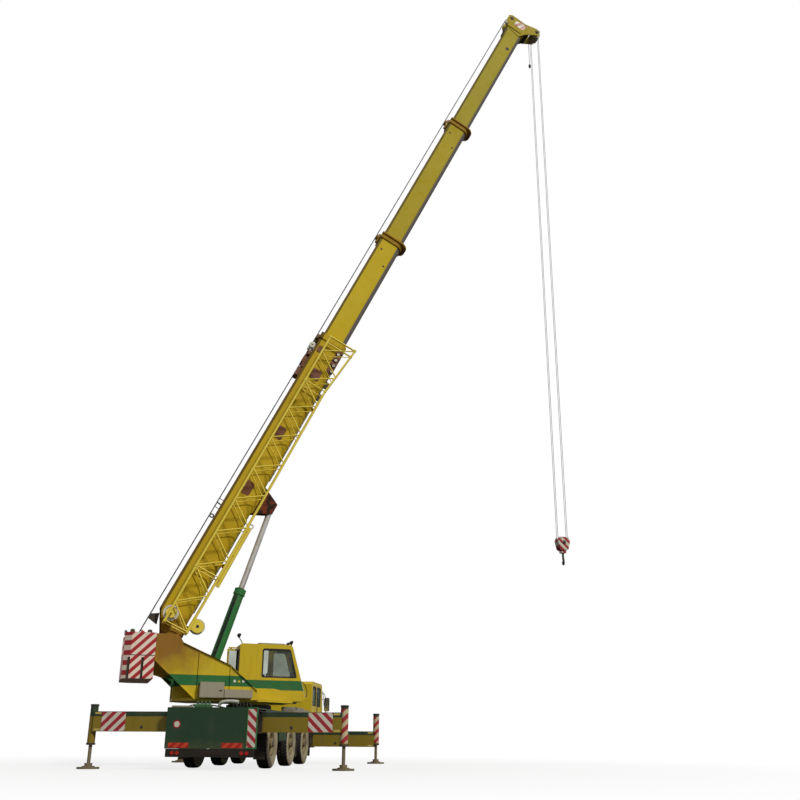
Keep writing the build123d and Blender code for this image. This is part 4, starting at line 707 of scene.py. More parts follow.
mesh_piece("rear_seal", [rear_seal], black_rubber, "carrier")


def on_screen(points):
    """Points out from, across and up the raked windscreen, to the row frame."""
    points = np.asarray(points, float)
    rake = 0.190 / 0.770
    z = points[:, 2]
    x = 8.250 - np.clip(z - 1.940, 0, None) * rake + points[:, 0]
    return on_carrier(np.stack([x, points[:, 1], z], axis=-1))


screen_seal = gasket(-1.08, 1.08, 1.97, 2.645, 0.07, 0.04, "yz", -0.015, 0.008, on_screen)
mesh_piece("screen_seal", [screen_seal], black_rubber, "carrier")
wipers = []
for foot_y, lean in ((0.75, -0.35), (-0.15, -0.35), (-0.95, -0.30)):
    arm = flow([(0.03, foot_y, 1.93), (0.05, foot_y + 0.4 * lean, 2.10), (0.035, foot_y + lean, 2.30)], 12)
    blade = flow(
        [
            (0.02, foot_y + lean - 0.02, 2.02), (0.03, foot_y + lean, 2.30),
            (0.02, foot_y + lean + 0.02, 2.56),
        ],
        12,
    )
    wipers += [tube(on_screen(arm), 0.009, 8), tube(on_screen(blade), 0.011, 8)]
    wipers.append(
        turned(
            [(0.03, 0.0), (0.03, 0.035), (0.018, 0.05), (0, 0.05)], at(on_screen, 0.0, foot_y, 1.925),
            (1, 0, 0), 16,
        )
    )
mesh_piece("wipers", wipers, black_rubber, "carrier")
cab_trim = []
for side in (1, -1):
    rail = flow(
        [
            (8.02, side * 1.215, 2.50), (8.06, side * 1.40, 2.52), (8.10, side * 1.40, 1.95),
            (8.08, side * 1.40, 1.62), (8.14, side * 1.215, 1.62),
        ]
    )
    cab_trim.append(tube(on_carrier(rail), 0.014, 10))
    head = rounded(side * 1.30, side * 1.50, 1.82, 2.32, 0.05)
    cab_trim.append(prism(head, "yz", 8.07, 8.14, on_carrier))
    small = rounded(side * 1.31, side * 1.49, 1.62, 1.79, 0.04)
    cab_trim.append(prism(small, "yz", 8.07, 8.13, on_carrier))
    grab = flow(
        [
            (6.86, side * 1.212, 1.55), (6.86, side * 1.27, 1.57), (6.86, side * 1.27, 2.0),
            (6.86, side * 1.27, 2.42), (6.86, side * 1.212, 2.44),
        ]
    )
    cab_trim.append(tube(on_carrier(grab), 0.013, 10))
    for step_z in (0.60, 0.92):
        tread_board = rounded(7.05, 7.65, step_z - 0.02, step_z + 0.02, 0.015)
        cab_trim.append(prism(tread_board, "xz", side * 1.00, side * 1.22, on_carrier))
    for step_x in (7.08, 7.62):
        cab_trim.append(
            prism(
                rounded(step_x - 0.02, step_x + 0.02, 0.58, 1.20, 0.01), "xz", side * 1.00, side * 1.03,
                on_carrier,
            )
        )
mesh_piece("cab_trim", cab_trim, black_rubber, "carrier", bevel=0.004)
mirror_face, tree, place, shader = blank_material("mirror_face")
fill_in(
    tree, shader,
    {
        "Base Color": (0.75, 0.78, 0.80, 1), "Metallic": 1.0,
        "Roughness": ramp(tree, noise(tree, place, 8.0), -0.4, 4.0),
    },
)
mirror_plates = [
    prism(rounded(side * 1.315, side * 1.485, 1.84, 2.30, 0.04), "yz", 8.066, 8.069, on_carrier)
    for side in (1, -1)
]
mesh_piece("mirror_faces", mirror_plates, mirror_face, "carrier")


def lens_material(name, colour):
    """Moulded lens: clear colour, fine ribs, a hard gloss."""
    material, tree, place, shader = blank_material(name)
    ribs = add(
        tree, "ShaderNodeTexWave", {"Vector": place, "Scale": 18.0}, bands_direction="Z"
    ).outputs["Fac"]
    bump = add(tree, "ShaderNodeBump", {"Strength": 0.3, "Distance": 0.003, "Height": ribs}).outputs[0]
    dusty = mixed(
        tree, product(tree, ramp(tree, noise(tree, place, 9.0), 0.4, 0.8), 0.4), linear(*colour), dust
    )
    fill_in(tree, shader, {"Base Color": dusty, "Roughness": 0.18, "Normal": bump, "Coat Weight": 0.5})
    return material


def lamp_paint(tree, place):
    """Clear lenses ahead, red ones behind."""
    along = component(tree, place, "X")
    return mixed(tree, ramp(tree, along, -0.5, 0.5), linear(178, 24, 28), linear(206, 212, 214))


finish_node("lamps", enamel("lamp_lens", lamp_paint, 0.2, 0.15, wear=0.0))
amber = lens_material("amber_lens", (222, 120, 24))
side_lights = []
for side in (1, -1):
    for x in (0.3, 2.0, 4.1, 5.6):
        side_lights.append(slab(x, x + 0.10, side * 1.250, side * 1.268, 1.44, 1.49, on_carrier, 0.015))
    side_lights.append(
        prism(rounded(side * 1.04, side * 1.18, 0.86, 0.94, 0.02), "yz", 8.381, 8.39, on_carrier)
    )
mesh_piece("side_lights", side_lights, amber, "carrier", bevel=0.003)
grille_bars = [
    prism(rounded(-0.62, 0.62, z, z + 0.035, 0.012), "yz", cab_x1 - 0.002, cab_x1 + 0.018, on_carrier)
    for z in np.linspace(1.30, 1.78, 9)
]
grille_bars.append(
    gasket(-0.70, 0.70, 1.24, 1.87, 0.05, 0.035, "yz", cab_x1 - 0.004, cab_x1 + 0.026, on_carrier)
)
mesh_piece("cab_grille", grille_bars, black_rubber, "carrier", bevel=0.003)


# Superstructure. Welded platform and folded side plates in yellow enamel with one green band at a fixed
# height. Upright ribs and edge flanges stiffen the plates; two pale grey tool boxes hang on the right
# one.
slew = np.array(joints["slew"]["pos_m"])
heading = np.array(joints["operator_door_slide"]["axis"], float)
leftward = np.array([-heading[1], heading[0], 0.0])
upward = np.array([0.0, 0.0, 1.0])


def on_super(points):
    """Superstructure coordinates, forward, left and up from the slewing axis, to the row frame."""
    points = np.asarray(points, float)
    base = np.array([slew[0], slew[1], 0.0])
    return base + points[:, :1] * heading + points[:, 1:2] * leftward + points[:, 2:] * upward


def super_paint(tree, place):
    """Yellow, a green band between two heights, rust brown and painted shade high up round the boom's foot.
    """
    height = component(tree, place, "Z")
    green_band = product(tree, ramp(tree, height, 2.298, 2.304), ramp(tree, height, 2.612, 2.606))
    away = measured(tree, place, at(on_super, -2.75, -1.0, 3.75).tolist(), "DISTANCE")
    ragged = total(tree, away, noise(tree, place, 2.4, 6.0))
    # The brown round the boom's foot is partly rust and partly painted shade.
    stain = product(tree, ramp(tree, ragged, 2.05, 1.05), 0.85)
    yellow = mixed(tree, stain, linear(206, 178, 20), linear(132, 80, 18))
    return mixed(tree, green_band, yellow, linear(30, 106, 54))


super_enamel = enamel("super_enamel", super_paint, 0.3, 0.4, None, 0.6)
for part in ("turntable", "side_covers", "operator_cab", "operator_door"):
    finish_node(part, super_enamel)
finish_node("hoist_winch", enamel("winch_iron", (70, 62, 52), 0.6, 0.5))
side_y = 1.150


def top_edge(x):
    """Height of the side plate's upper edge at x: straight runs between its corners."""
    return np.interp(x, [-3.055, -2.42, -2.25, -0.80, 0.04, 0.08], [3.78, 3.78, 3.54, 2.92, 2.20, 1.905])


def low_edge(x):
    """Height of the side plate's lower edge at x."""
    return np.interp(x, [-3.055, -1.83, 0.08], [2.98, 1.905, 1.905])


stiffeners = []
for side in (-1, 1):
    outer, proud = side * (side_y - 0.001), side * (side_y + 0.045)
    for x in (-1.76, -0.80):
        z0, z1 = float(low_edge(x)) + 0.01, float(top_edge(x)) - 0.01
        stiffeners.append(slab(x - 0.010, x + 0.010, outer, proud, z0, z1, on_super))
    top_end, low_end = ((0.035, 2.195), (0.075, 1.912)) if side < 0 else ((-0.42, 2.62), (-0.42, 1.912))
    top_run, low_run = [(-2.25, 3.535), (-0.80, 2.915), top_end], [(-3.05, 2.985), (-1.83, 1.912), low_end]
    for run, thick, reach in ((top_run, -0.016, 0.055), (low_run, 0.016, 0.050)):
        for (xa, za), (xb, zb) in zip(run, run[1:]):
            outline = [(xa, za), (xb, zb), (xb, zb + thick), (xa, za + thick)]
            stiffeners.append(prism(outline, "xz", outer - side * 0.08, side * (side_y + reach), on_super))
mesh_piece("cover_stiffeners", stiffeners, super_enamel, "superstructure", bevel=0.003)
box_grey = enamel("box_grey", (158, 150, 128), 0.3, 0.5)
box_sizes = (
    (-1.70, -0.99, 0.001, 0.240, 1.950, 2.400, 0.020),
    (-1.69, -1.00, 0.240, 0.246, 1.965, 2.375, 0.015),
    (-0.975, -0.13, 0.001, 0.220, 1.955, 2.200, 0.020),
    (-0.965, -0.14, 0.220, 0.226, 1.970, 2.175, 0.015),
)
boxes = [
    slab(x0, x1, -side_y - near, -side_y - far, z0, z1, on_super, curve)
    for x0, x1, near, far, z0, z1, curve in box_sizes
]
mesh_piece("tool_boxes", boxes, box_grey, "superstructure", bevel=0.005)
latch = slab(-1.135, -1.045, -side_y - 0.246, -side_y - 0.266, 2.148, 2.172, on_super, 0.008)
mesh_piece("box_latches", [latch], black_rubber, "superstructure", bevel=0.003)
stickers = [
    turned(button(0.042, 0.003), at(on_super, x, -side_y - 0.0005, 2.455), -leftward, 28)
    for x in (-0.66, -0.40)
]
mesh_piece("round_stickers", stickers, white_film, "superstructure")
triangle = [(-0.575, 2.42), (-0.485, 2.42), (-0.53, 2.495)]
mesh_piece(
    "warning_sticker",
    [prism(triangle, "xz", -side_y - 0.0005, -side_y - 0.0035, on_super)],
    enamel("sticker_yellow", (222, 190, 40), 0.3, 0.4, wear=0.0), "superstructure",
)
vents = [
    slab(-2.46 + 0.09 * k, -2.41 + 0.09 * k, side_y - 0.001, side_y + 0.006, 3.10, 3.34, on_super, 0.02)
    for k in range(4)
]
mesh_piece("left_vents", vents, black_rubber, "superstructure", bevel=0.003)
foot_hoses = []
for k in range(4):
    y = -0.52 - 0.035 * k
    ends = [
        (-2.55 + 0.05 * k, y, 2.70), (-2.60, y, 3.20), (-2.72 + 0.03 * k, y - 0.05, 3.72),
        (-2.62, y + 0.01, 3.80), (-2.52, y + 0.03, 3.60),
    ]
    foot_hoses.append(tube(on_super(flow(ends)), 0.017, 10))
mesh_piece("boom_foot_hoses", foot_hoses, black_rubber, "superstructure")
ring_bolts = ring_of(
    turned(button(0.020, 0.022), (0, 0, 0), (0, 0, 1), 6), np.array([slew[0], slew[1], 1.95]), 32, 0.575,
    (0, 0, 1),
)
mesh_piece("ring_bolts", ring_bolts, socket_iron, "superstructure")


# Counterweight and winch. Two cast slabs painted in slanted red and white bars, with lifting lugs, a beacon
# and a work lamp on top; the winch drum carries tight turns of steel rope.
weight_paint = enamel(
    "weight_enamel",
    bars((176, 32, 44), (240, 222, 202), (heading[0] + leftward[0], heading[1] + leftward[1], -1.0), 0.165),
    0.25, 0.42, None, 0.6,
)
finish_node("counterweight", weight_paint)
weight_low, weight_top = (corner[2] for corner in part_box("counterweight"))
seam_z = (weight_top + weight_low) / 2
seams = []
for side in (1, -1):
    seams.append(slab(-3.765, -3.065, side * 1.186, side * 1.202, seam_z - 0.012, seam_z + 0.012, on_super))
    for x in (-3.79, -3.40):
        seams.append(
            slab(
                x - 0.034, x + 0.034, side * 1.145, side * 1.142, weight_low + 0.001, seam_z - 0.062,
                on_super,
            )
        )
mesh_piece("weight_seams", seams, socket_iron, "superstructure")
top_fittings = []
for y in (0.85, -0.85):
    for x in (-3.75, -3.25):
        top_fittings.append(
            prism(
                rounded(x - 0.07, x + 0.07, weight_top, weight_top + 0.12, 0.05), "xz", y - 0.015,
                y + 0.015, on_super,
            )
        )
lamp_stalk = flow(
    [(-3.86, 0.95, weight_top), (-3.86, 0.95, weight_top + 0.10), (-3.90, 0.95, weight_top + 0.16)], 10
)
top_fittings.append(tube(on_super(lamp_stalk), 0.018, 10))
top_fittings.append(
    turned(
        [(0.035, 0), (0.085, 0.03), (0.085, 0.09), (0.0, 0.09)],
        at(on_super, -3.84, 0.95, weight_top + 0.19), -heading, 24,
    )
)
mesh_piece("weight_fittings", top_fittings, socket_iron, "superstructure", bevel=0.004)
red_lens = lens_material("red_lens", (190, 24, 30))
beacon_line = [(0.055, 0.0), (0.055, 0.02), (0.048, 0.024), (0.052, 0.10), (0.042, 0.125), (0.0, 0.135)]
mesh_piece(
    "rear_beacon",
    [turned(beacon_line, at(on_super, -3.45, -0.60, weight_top), (0, 0, 1), 28)], red_lens,
    "superstructure",
)
rope_steel = speckled("rope_steel", 60.0, 3.0, (0.35, 0.65), (52, 60, 70), (88, 98, 110), 0.6, 0.2)
turns = 34
along_drum = np.linspace(-0.30, 0.30, turns * 8 + 1)
wound = 0.225 + 0.008 * np.abs(np.sin(np.pi * (along_drum + 0.30) / 0.60 * turns))
drum_profile = np.stack([wound, along_drum], axis=1)
mesh_piece(
    "wound_rope",
    [
        turned(
            [(0.211, -0.30), *drum_profile.tolist(), (0.211, 0.30)], at(on_super, -3.54, 0.0, 3.48),
            leftward, 40,
        )
    ],
    rope_steel, "superstructure",
)


# Crane operator's cab. The same yellow and green sheet on a hollow shell, black rubber round the panes, a
# hatch and a work lamp on the roof, a wiper, a small recessed step with a ring, and a cloth seat between
# its consoles.
operator_pane = pane("operator_pane", (224, 228, 222), 0.84)
for part in ("operator_glass", "operator_door_pane"):
    finish_node(part, operator_pane)
cab_y0, cab_y1 = 0.440, 1.220


def window_seal(corners, radius, width, y_in, y_out, to_frame):
    """A rubber ring round a four-cornered pane: each corner is an arc, then all is drawn inwards."""
    corners = np.asarray(corners, float)
    rings = []
    for shrink in (0.0, width):
        line = []
        for k in range(4):
            here, before, after = corners[k], corners[k - 1], corners[(k + 1) % 4]
            a, b = (step / np.linalg.norm(step) for step in (before - here, after - here))
            reach = shrink * (a + b) / max(1e-6, abs(a[0] * b[1] - a[1] * b[0]))
            t = np.linspace(0, 1, 7)[:, None]
            start, end, mid = here + reach + a * radius, here + reach + b * radius, here + reach
            line.append((1 - t) ** 2 * start + 2 * t * (1 - t) * mid + t**2 * end)
        rings.append(np.concatenate(line))
    count = len(rings[0])
    points = np.zeros((4, count, 3))
    for row, (ring, y) in enumerate(((0, y_in), (0, y_out), (1, y_out), (1, y_in))):
        points[row, :, ::2] = rings[ring]
        points[row, :, 1] = y
    return to_frame(points.reshape(-1, 3)), grid_faces(4, count, wrap_rows=True, wrap_columns=True)


right_corners = [(0.425, 3.615), (0.425, 2.695), (1.60, 2.695), (1.352, 3.615)]
right_seal = window_seal(right_corners, 0.075, 0.045, cab_y0 + 0.020, cab_y0 - 0.006, on_super)
left_corners = [(0.895, 3.585), (0.895, 2.275), (1.735, 2.275), (1.362, 3.585)]
left_seal = window_seal(left_corners, 0.06, 0.045, cab_y1 - 0.020, cab_y1 + 0.004, on_super)
back_seal = gasket(cab_y0 + 0.095, cab_y1 - 0.095, 2.725, 3.575, 0.06, 0.04, "yz", -0.29, -0.316, on_super)
mesh_piece(
    "operator_seals", [right_seal, left_seal, back_seal], black_rubber, "superstructure"
)


def on_nose(points):
    """Points given out from, across and up the raked front of the crane cab, to the row frame."""
    points = np.asarray(points, float)
    slope = 0.490 / 1.615
    x = 1.900 - (points[:, 2] - 2.085) * slope + points[:, 0]
    return on_super(np.stack([x, points[:, 1], points[:, 2]], axis=-1))


nose_seal = gasket(cab_y0 + 0.05, cab_y1 - 0.05, 2.20, 3.675, 0.06, 0.04, "yz", -0.015, 0.010, on_nose)
corner_posts = [
    prism(
        [(y - 0.02, 2.10), (y + 0.02, 2.10), (y + 0.02, 3.69), (y - 0.02, 3.69)], "yz", -0.004, 0.012,
        on_nose,
    )
    for y in (cab_y0 + 0.022, cab_y1 - 0.022)
]
mesh_piece("nose_seal", [nose_seal], black_rubber, "superstructure")
mesh_piece("nose_posts", corner_posts, pale_steel, "superstructure", bevel=0.004)
nose_wiper = [
    tube(on_nose(flow([(0.03, 0.80, 2.17), (0.05, 0.86, 2.55), (0.03, 0.92, 2.95)], 12)), 0.009, 8),
    tube(on_nose(flow([(0.02, 0.90, 2.62), (0.03, 0.92, 2.95), (0.02, 0.94, 3.28)], 12)), 0.012, 8),
]
nose_wiper += [
    tube(
        on_nose(
            flow([(0.02, y, 2.12), (0.14, y, 2.14), (0.14, y, 2.35), (0.14, y, 2.56), (0.02, y, 2.58)])
        ),
        0.013, 10,
    )
    for y in (0.50, 1.16)
]
mesh_piece("nose_wiper", nose_wiper, black_rubber, "superstructure")
hatch = gasket(0.30, 1.20, cab_y0 + 0.10, cab_y1 - 0.10, 0.08, 0.05, "xy", 3.748, 3.800, on_super)
mesh_piece("roof_hatch", [hatch], box_grey, "superstructure", bevel=0.006)
lamp_arm = flow([(-0.22, 0.62, 3.74), (-0.26, 0.62, 3.86), (-0.34, 0.62, 3.92), (-0.36, 0.62, 4.0)], 14)
lamp_aim = heading * 0.94 - upward * 0.34
lamp_bowl = turned(
    [(0.03, -0.05), (0.075, 0.0), (0.08, 0.06), (0.0, 0.062)], at(on_super, -0.36, 0.62, 4.02), lamp_aim, 24
)
front_bowls = [
    turned(
        [(0.03, -0.05), (0.07, 0.0), (0.075, 0.05), (0.0, 0.052)], at(on_super, 1.38, y, 3.84), lamp_aim, 24
    )
    for y in (0.56, 1.10)
]
mesh_piece(
    "cab_lamps",
    [tube(on_super(lamp_arm), 0.014, 10), lamp_bowl, *front_bowls], black_rubber, "superstructure",
)
recess = [
    gasket(0.60, 0.92, 2.00, 2.23, 0.02, 0.02, "xz", cab_y0 + 0.002, cab_y0 - 0.03, on_super),
    slab(0.615, 0.905, cab_y0 + 0.002, cab_y0 - 0.006, 2.015, 2.215, on_super, 0.01),
]
mesh_piece(
    "step_recess", recess, enamel("recess_brown", (112, 58, 30), 0.5, 0.5), "superstructure",
    bevel=0.003,
)
ring_t = np.linspace(0, 2 * np.pi, 33)
ring_path = np.stack(
    [0.76 + 0.05 * np.cos(ring_t), np.full(33, cab_y0 - 0.03), 2.115 + 0.05 * np.sin(ring_t)], axis=1
)
mesh_piece("step_ring", [tube(on_super(ring_path), 0.011, 10)], super_enamel, "superstructure")


def soft_block(centre, size, crown, to_frame, steps=12):
    """A stuffed block: a cube's six grids blown out by a crowned factor, so edges round and faces swell."""
    t = np.linspace(-1, 1, steps)
    a, b = np.meshgrid(t, t, indexing="ij")
    shapes = []
    for axis in range(3):
        for sign in (1, -1):
            cube = np.zeros((steps, steps, 3))
            cube[..., axis] = sign
            cube[..., (axis + 1) % 3] = a
            cube[..., (axis + 2) % 3] = b
            reach = np.linalg.norm(cube, ord=6, axis=-1, keepdims=True)
            swell = 1 + crown * (1 - a[..., None] ** 2) * (1 - b[..., None] ** 2)
            points = np.asarray(centre) + cube / reach * swell * np.asarray(size) / 2
            shapes.append((to_frame(points.reshape(-1, 3)), grid_faces(steps, steps)))
    return shapes


seat_cloth, tree, place, shader = blank_material("seat_cloth")
weave = add(tree, "ShaderNodeTexVoronoi", {"Vector": place, "Scale": 140.0}).outputs["Distance"]
worn = ramp(tree, noise(tree, place, 6.0, 6.0), 0.4, 0.75)
fill_in(
    tree,
    shader,
    {
        "Base Color": mixed(tree, worn, linear(40, 42, 50), linear(78, 76, 74)),
        "Roughness": 0.9,
        "Sheen Weight": 0.3,
        "Normal": add(
            tree, "ShaderNodeBump", {"Strength": 0.25, "Distance": 0.002, "Height": weave}
        ).outputs[0],
    },
)
console_plastic = enamel("console_plastic", (46, 46, 48), 0.2, 0.55, wear=0.2)


def cab_seat(name, body, x, y, floor, to_frame):
    """Cushion, backrest and headrest as padded pieces, on a pleated base with its slides."""
    cushion = soft_block((x, y, floor + 0.44), (0.50, 0.48, 0.14), 0.10, to_frame)
    back = soft_block((x - 0.245, y, floor + 0.80), (0.13, 0.44, 0.62), 0.10, to_frame)
    rest = soft_block((x - 0.300, y, floor + 1.14), (0.09, 0.24, 0.14), 0.12, to_frame)
    pads = [
        mesh_piece(name + part, shapes, seat_cloth, body)
        for part, shapes in (("_cushion", cushion), ("_back", back), ("_rest", rest))
    ]
    folds = [(0.17 + 0.012 * (k % 2), 0.03 * k) for k in range(10)]
    base = turned([(0.0, 0.0), *folds, (0.0, 0.27)], at(to_frame, x, y, floor + 0.06), (0, 0, 1), 24)
    foot = slab(x - 0.22, x + 0.22, y - 0.2, y + 0.2, floor + 0.001, floor + 0.06, to_frame, 0.02)
    pan = slab(x - 0.22, x + 0.22, y - 0.21, y + 0.21, floor + 0.33, floor + 0.375, to_frame, 0.02)
    mesh_piece(name + "_base", [base, foot, pan], console_plastic, body, bevel=0.004)
    return pads


operator_y = 0.83
operator_floor = 2.005
operator_pads = cab_seat("operator_seat", "superstructure", 0.42, operator_y, operator_floor, on_super)
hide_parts("operator_seat")


def on_cab_floor(points):
    """Points forward from the slewing axis, left of the operator's seat and up from the cab's floor."""
    return on_super(np.asarray(points, float) + [0.0, operator_y, operator_floor])


consoles = []
for side in (1, -1):
    y = side * 0.285
    consoles.append(slab(0.28, 0.74, y - 0.04, y + 0.04, 0.42, 0.64, on_cab_floor, 0.04))
    for x in (0.60, 0.68):
        lever = flow([(x, y, 0.63), (x + 0.02, y, 0.74), (x + 0.03, y, 0.80)], 8)
        knob = [(0.0, 0.0), (0.022, 0.006), (0.026, 0.03), (0.018, 0.05), (0.0, 0.056)]
        consoles.append(tube(on_cab_floor(lever), 0.010, 10))
        consoles.append(turned(knob, at(on_cab_floor, x + 0.03, y, 0.79), (0, 0, 1), 16))
post = tube(on_cab_floor(flow([(1.52, 0, 0.001), (1.54, 0, 0.35), (1.50, 0, 0.72)], 10)), 0.028, 14)
panel = prism(rounded(-0.16, 0.16, 0.66, 0.90, 0.03), "yz", 1.47, 1.53, on_cab_floor)
pedals = [slab(1.28, 1.40, y - 0.05, y + 0.05, 0.03, 0.045, on_cab_floor, 0.006) for y in (-0.14, 0.14)]
mesh_piece(
    "operator_controls", [*consoles, post, panel, *pedals], console_plastic, "superstructure",
    bevel=0.004,
)
driver_floor = 1.226
driver_pads = []
for side, name in ((1, "driver_seat"), (-1, "mate_seat")):
    driver_pads += cab_seat(name, "carrier", 6.92, side * 0.62, driver_floor, on_carrier)
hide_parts("driver_seats")
dash_line = [
    (7.75, 1.24), (8.17, 1.24), (8.17, 1.86), (8.06, 1.925), (7.93, 1.92), (7.84, 1.87), (7.80, 1.65)
]
dash = prism(dash_line, "xz", -1.12, 1.12, on_carrier)
wheel_hub, wheel_radius = (7.66, 0.62, 2.026), 0.21


def on_wheel(radius, angle):
    """Points of the leaning steering wheel at a radius and an angle, to the row frame."""
    radius, angle = np.broadcast_arrays(radius, angle)
    spread = np.stack([0.819 * np.cos(angle), np.sin(angle), -0.574 * np.cos(angle)], axis=-1)
    return on_carrier(np.array(wheel_hub) + radius[:, None] * spread)


rim_path = on_wheel(wheel_radius, np.linspace(0, 2 * np.pi, 49))
spokes = [tube(on_wheel(np.linspace(0.0, wheel_radius, 6), angle), 0.012, 8) for angle in (0.5, 2.6, 4.7)]
column = tube(on_carrier(flow([wheel_hub, (7.78, 0.62, 1.86), (7.90, 0.62, 1.69)], 8)), 0.03, 14)
mesh_piece(
    "dash_and_wheel", [dash, tube(rim_path, 0.016, 12), column, *spokes], console_plastic, "carrier",
    bevel=0.004,
)


# Boom. Four nested steel boxes in yellow enamel, each with painted shade along its top edge; the sliding
# sections show a bare greased underside. Collars, pin-hole marks drawn as black discs of painted shade,
# and a rope guide sit at each section's mouth; the head carries striped film and black blocks of painted
# shade.
foot = np.array(joints["luff"]["pos_m"])
boom_along = np.array(joints["telescope_2"]["axis"], float)
boom_along /= np.linalg.norm(boom_along)
boom_up = np.cross(boom_along, leftward)
core = 0.380


def on_boom(points):
    """Points along the boom, to its left and square to its top, from the foot pin, to the row frame."""
    points = np.asarray(points, float)
    return foot + points[:, :1] * boom_along + points[:, 1:2] * leftward + points[:, 2:] * boom_up


def boom_measures(tree, place):
    """Distance along the boom and height over its foot pin, at the shaded point."""
    moved = add(tree, "ShaderNodeVectorMath", {0: place, 1: (-foot).tolist()}, operation="ADD").outputs[0]
    return (measured(tree, moved, line.tolist(), "DOT_PRODUCT") for line in (boom_along, boom_up))


def cloudy(tree, place, colours):
    """One colour fading into another in wide soft patches."""
    return mixed(
        tree, ramp(tree, noise(tree, place, 0.5, 3.0), 0.35, 0.7), *(linear(*each) for each in colours)
    )


def section_paint(under, top, mouth, mouth_colour, side_colours):
    """Yellow sides, a greased underside, painted shade along the top edge, another colour beyond the mouth.
    """

    def paint(tree, place):
        along, rise = boom_measures(tree, place)
        level = total(tree, rise, product(tree, noise(tree, place, 7.0, 5.0), 0.012))
        side = cloudy(tree, place, side_colours)
        lower = mixed(tree, ramp(tree, level, under + 0.010, under - 0.010), side, linear(112, 106, 102))
        # The dark olive band along the top edge is painted shade.
        upper = mixed(tree, ramp(tree, level, top - 0.004, top + 0.004), lower, linear(112, 96, 34))
        return mixed(tree, ramp(tree, along, mouth - 0.004, mouth + 0.004), upper, linear(*mouth_colour))

    return paint


def base_paint(tree, place):
    """Yellow, rust-brown at the foot, painted shade along the top, dark streaks on the fork for the lift
    rod's eye.
    """
    along, rise = boom_measures(tree, place)
    far = total(tree, along, product(tree, noise(tree, place, 2.4, 6.0), 0.9))
    side = cloudy(tree, place, ((190, 160, 26), (202, 172, 32)))
    lower = mixed(tree, ramp(tree, far, 1.5, 0.6), side, linear(112, 64, 22))
    # The darker band along the top is painted shade.
    upper = mixed(tree, ramp(tree, rise, 0.785, 0.795), lower, linear(108, 84, 28))
    streak = mixed(
        tree, ramp(tree, noise(tree, place, 7.0, 6.0), 0.42, 0.60), linear(34, 24, 18), linear(122, 54, 24)
    )
    return mixed(tree, ramp(tree, rise, -0.150, -0.175), upper, streak)


collar_brown = enamel("collar_brown", (120, 84, 26), 0.3, 0.5, None, 0.5)
collar_spots = ((-0.72, 0.21, 0.042), (-1.37, -0.19, 0.042))
sections = (
    ("boom_base", "boom", 0.370, 0.5000, 12.15, (), None),
    ("boom_section_2", "section_2", 0.340, 0.4575, 17.40, collar_spots, ((202, 174, 24), (208, 182, 36))),
    ("boom_section_3", "section_3", 0.310, 0.4325, 24.35, collar_spots, ((178, 158, 32), (186, 166, 40))),
    (
        "boom_head", "boom_tip", 0.280, 0.4075, 31.25, ((-1.51, -0.10, 0.085),),
        ((168, 154, 38), (176, 162, 44)),
    ),
)
collar_proud = 0.045
for node, body, half_width, half_height, front, spots, side_colours in sections:
    bottom, top_edge_v = core - half_height, core + half_height
    mouth, mouth_colour = (0.39, (176, 156, 34)) if body == "boom_tip" else (0.245, (164, 124, 28))
    paint = base_paint
    if side_colours:
        under, top = bottom + 0.46 * half_width, top_edge_v - 0.085
        paint = section_paint(under, top, front - mouth, mouth_colour, side_colours)
    finish_node(node, enamel(node + "_enamel", paint, 0.05, 0.6, wear=0.2, gloss=0.10))
    # Each pin hole is drawn as a flat black disc: painted shade where the hole would be.
    hole_shade_discs = [
        turned(
            button(radius, 0.003), at(on_boom, front + u, side * half_width, core + v), side * leftward, 24
        )
        for u, v, radius in spots
        for side in (1, -1)
    ]
    if hole_shade_discs:
        mesh_piece("pin_hole_shade_" + body, hole_shade_discs, black_rubber, body)
    if body == "boom_tip":
        continue
    edge_y, edge_low, edge_high = half_width + collar_proud, bottom - collar_proud, top_edge_v + collar_proud
    trim = []
    guide_top = edge_high + 0.085
    for side in (1, -1):
        for v in np.linspace(bottom + 0.42 * half_width + 0.1, top_edge_v - 0.05, 4):
            bolt = button(0.016, 0.012)
            trim.append(turned(bolt, at(on_boom, front - 0.17, side * edge_y, v), side * leftward, 6))
        cheek = [
            (front - 0.235, edge_high), (front - 0.07, edge_high), (front - 0.07, guide_top - 0.03),
            (front - 0.11, guide_top), (front - 0.20, guide_top),
        ]
        trim.append(prism(cheek, "xz", side * 0.22, side * (0.22 + 0.016), on_boom))
    mesh_piece("collar_trim_" + body, trim, collar_brown, body, bevel=0.003)
    if body == "boom":
        continue
    rim = np.linspace(-np.pi * 0.80, -np.pi * 0.20, 25)
    drop = edge_low - 0.145
    lobes = np.stack([(edge_y + 0.03) * np.cos(rim) * 0.92, drop + 0.02 + 0.11 * (1 + np.sin(rim))], axis=1)
    lip = np.concatenate([lobes, [(edge_y * 0.60, edge_low - 0.01), (-edge_y * 0.60, edge_low - 0.01)]])
    mesh_piece(
        "collar_lip_" + body, [prism(lip, "yz", front - 0.074, front - 0.0605, on_boom)], collar_brown,
        body, bevel=0.003,
    )
finish_node("head_sheaves", enamel("sheave_iron", (176, 166, 132), 0.45, 0.5, None, 0.8))
head_yellow = enamel("head_yellow", (206, 178, 36), 0.3, 0.42)
head_film = enamel(
    "head_film",
    bars(hazard_red, hazard_white, (boom_along * 0.45 + boom_up).tolist(), 0.24), 0.2, 0.4, wear=0.0,
)
patch = [(31.28, 0.10), (31.24, 0.52), (31.50, 0.60), (31.66, 0.30), (31.60, 0.02)]
patches = [prism(patch, "xz", side * 0.2985, side * 0.3015, on_boom) for side in (1, -1)]
mesh_piece("head_film", patches, head_film, "boom_tip")
head_bits = []
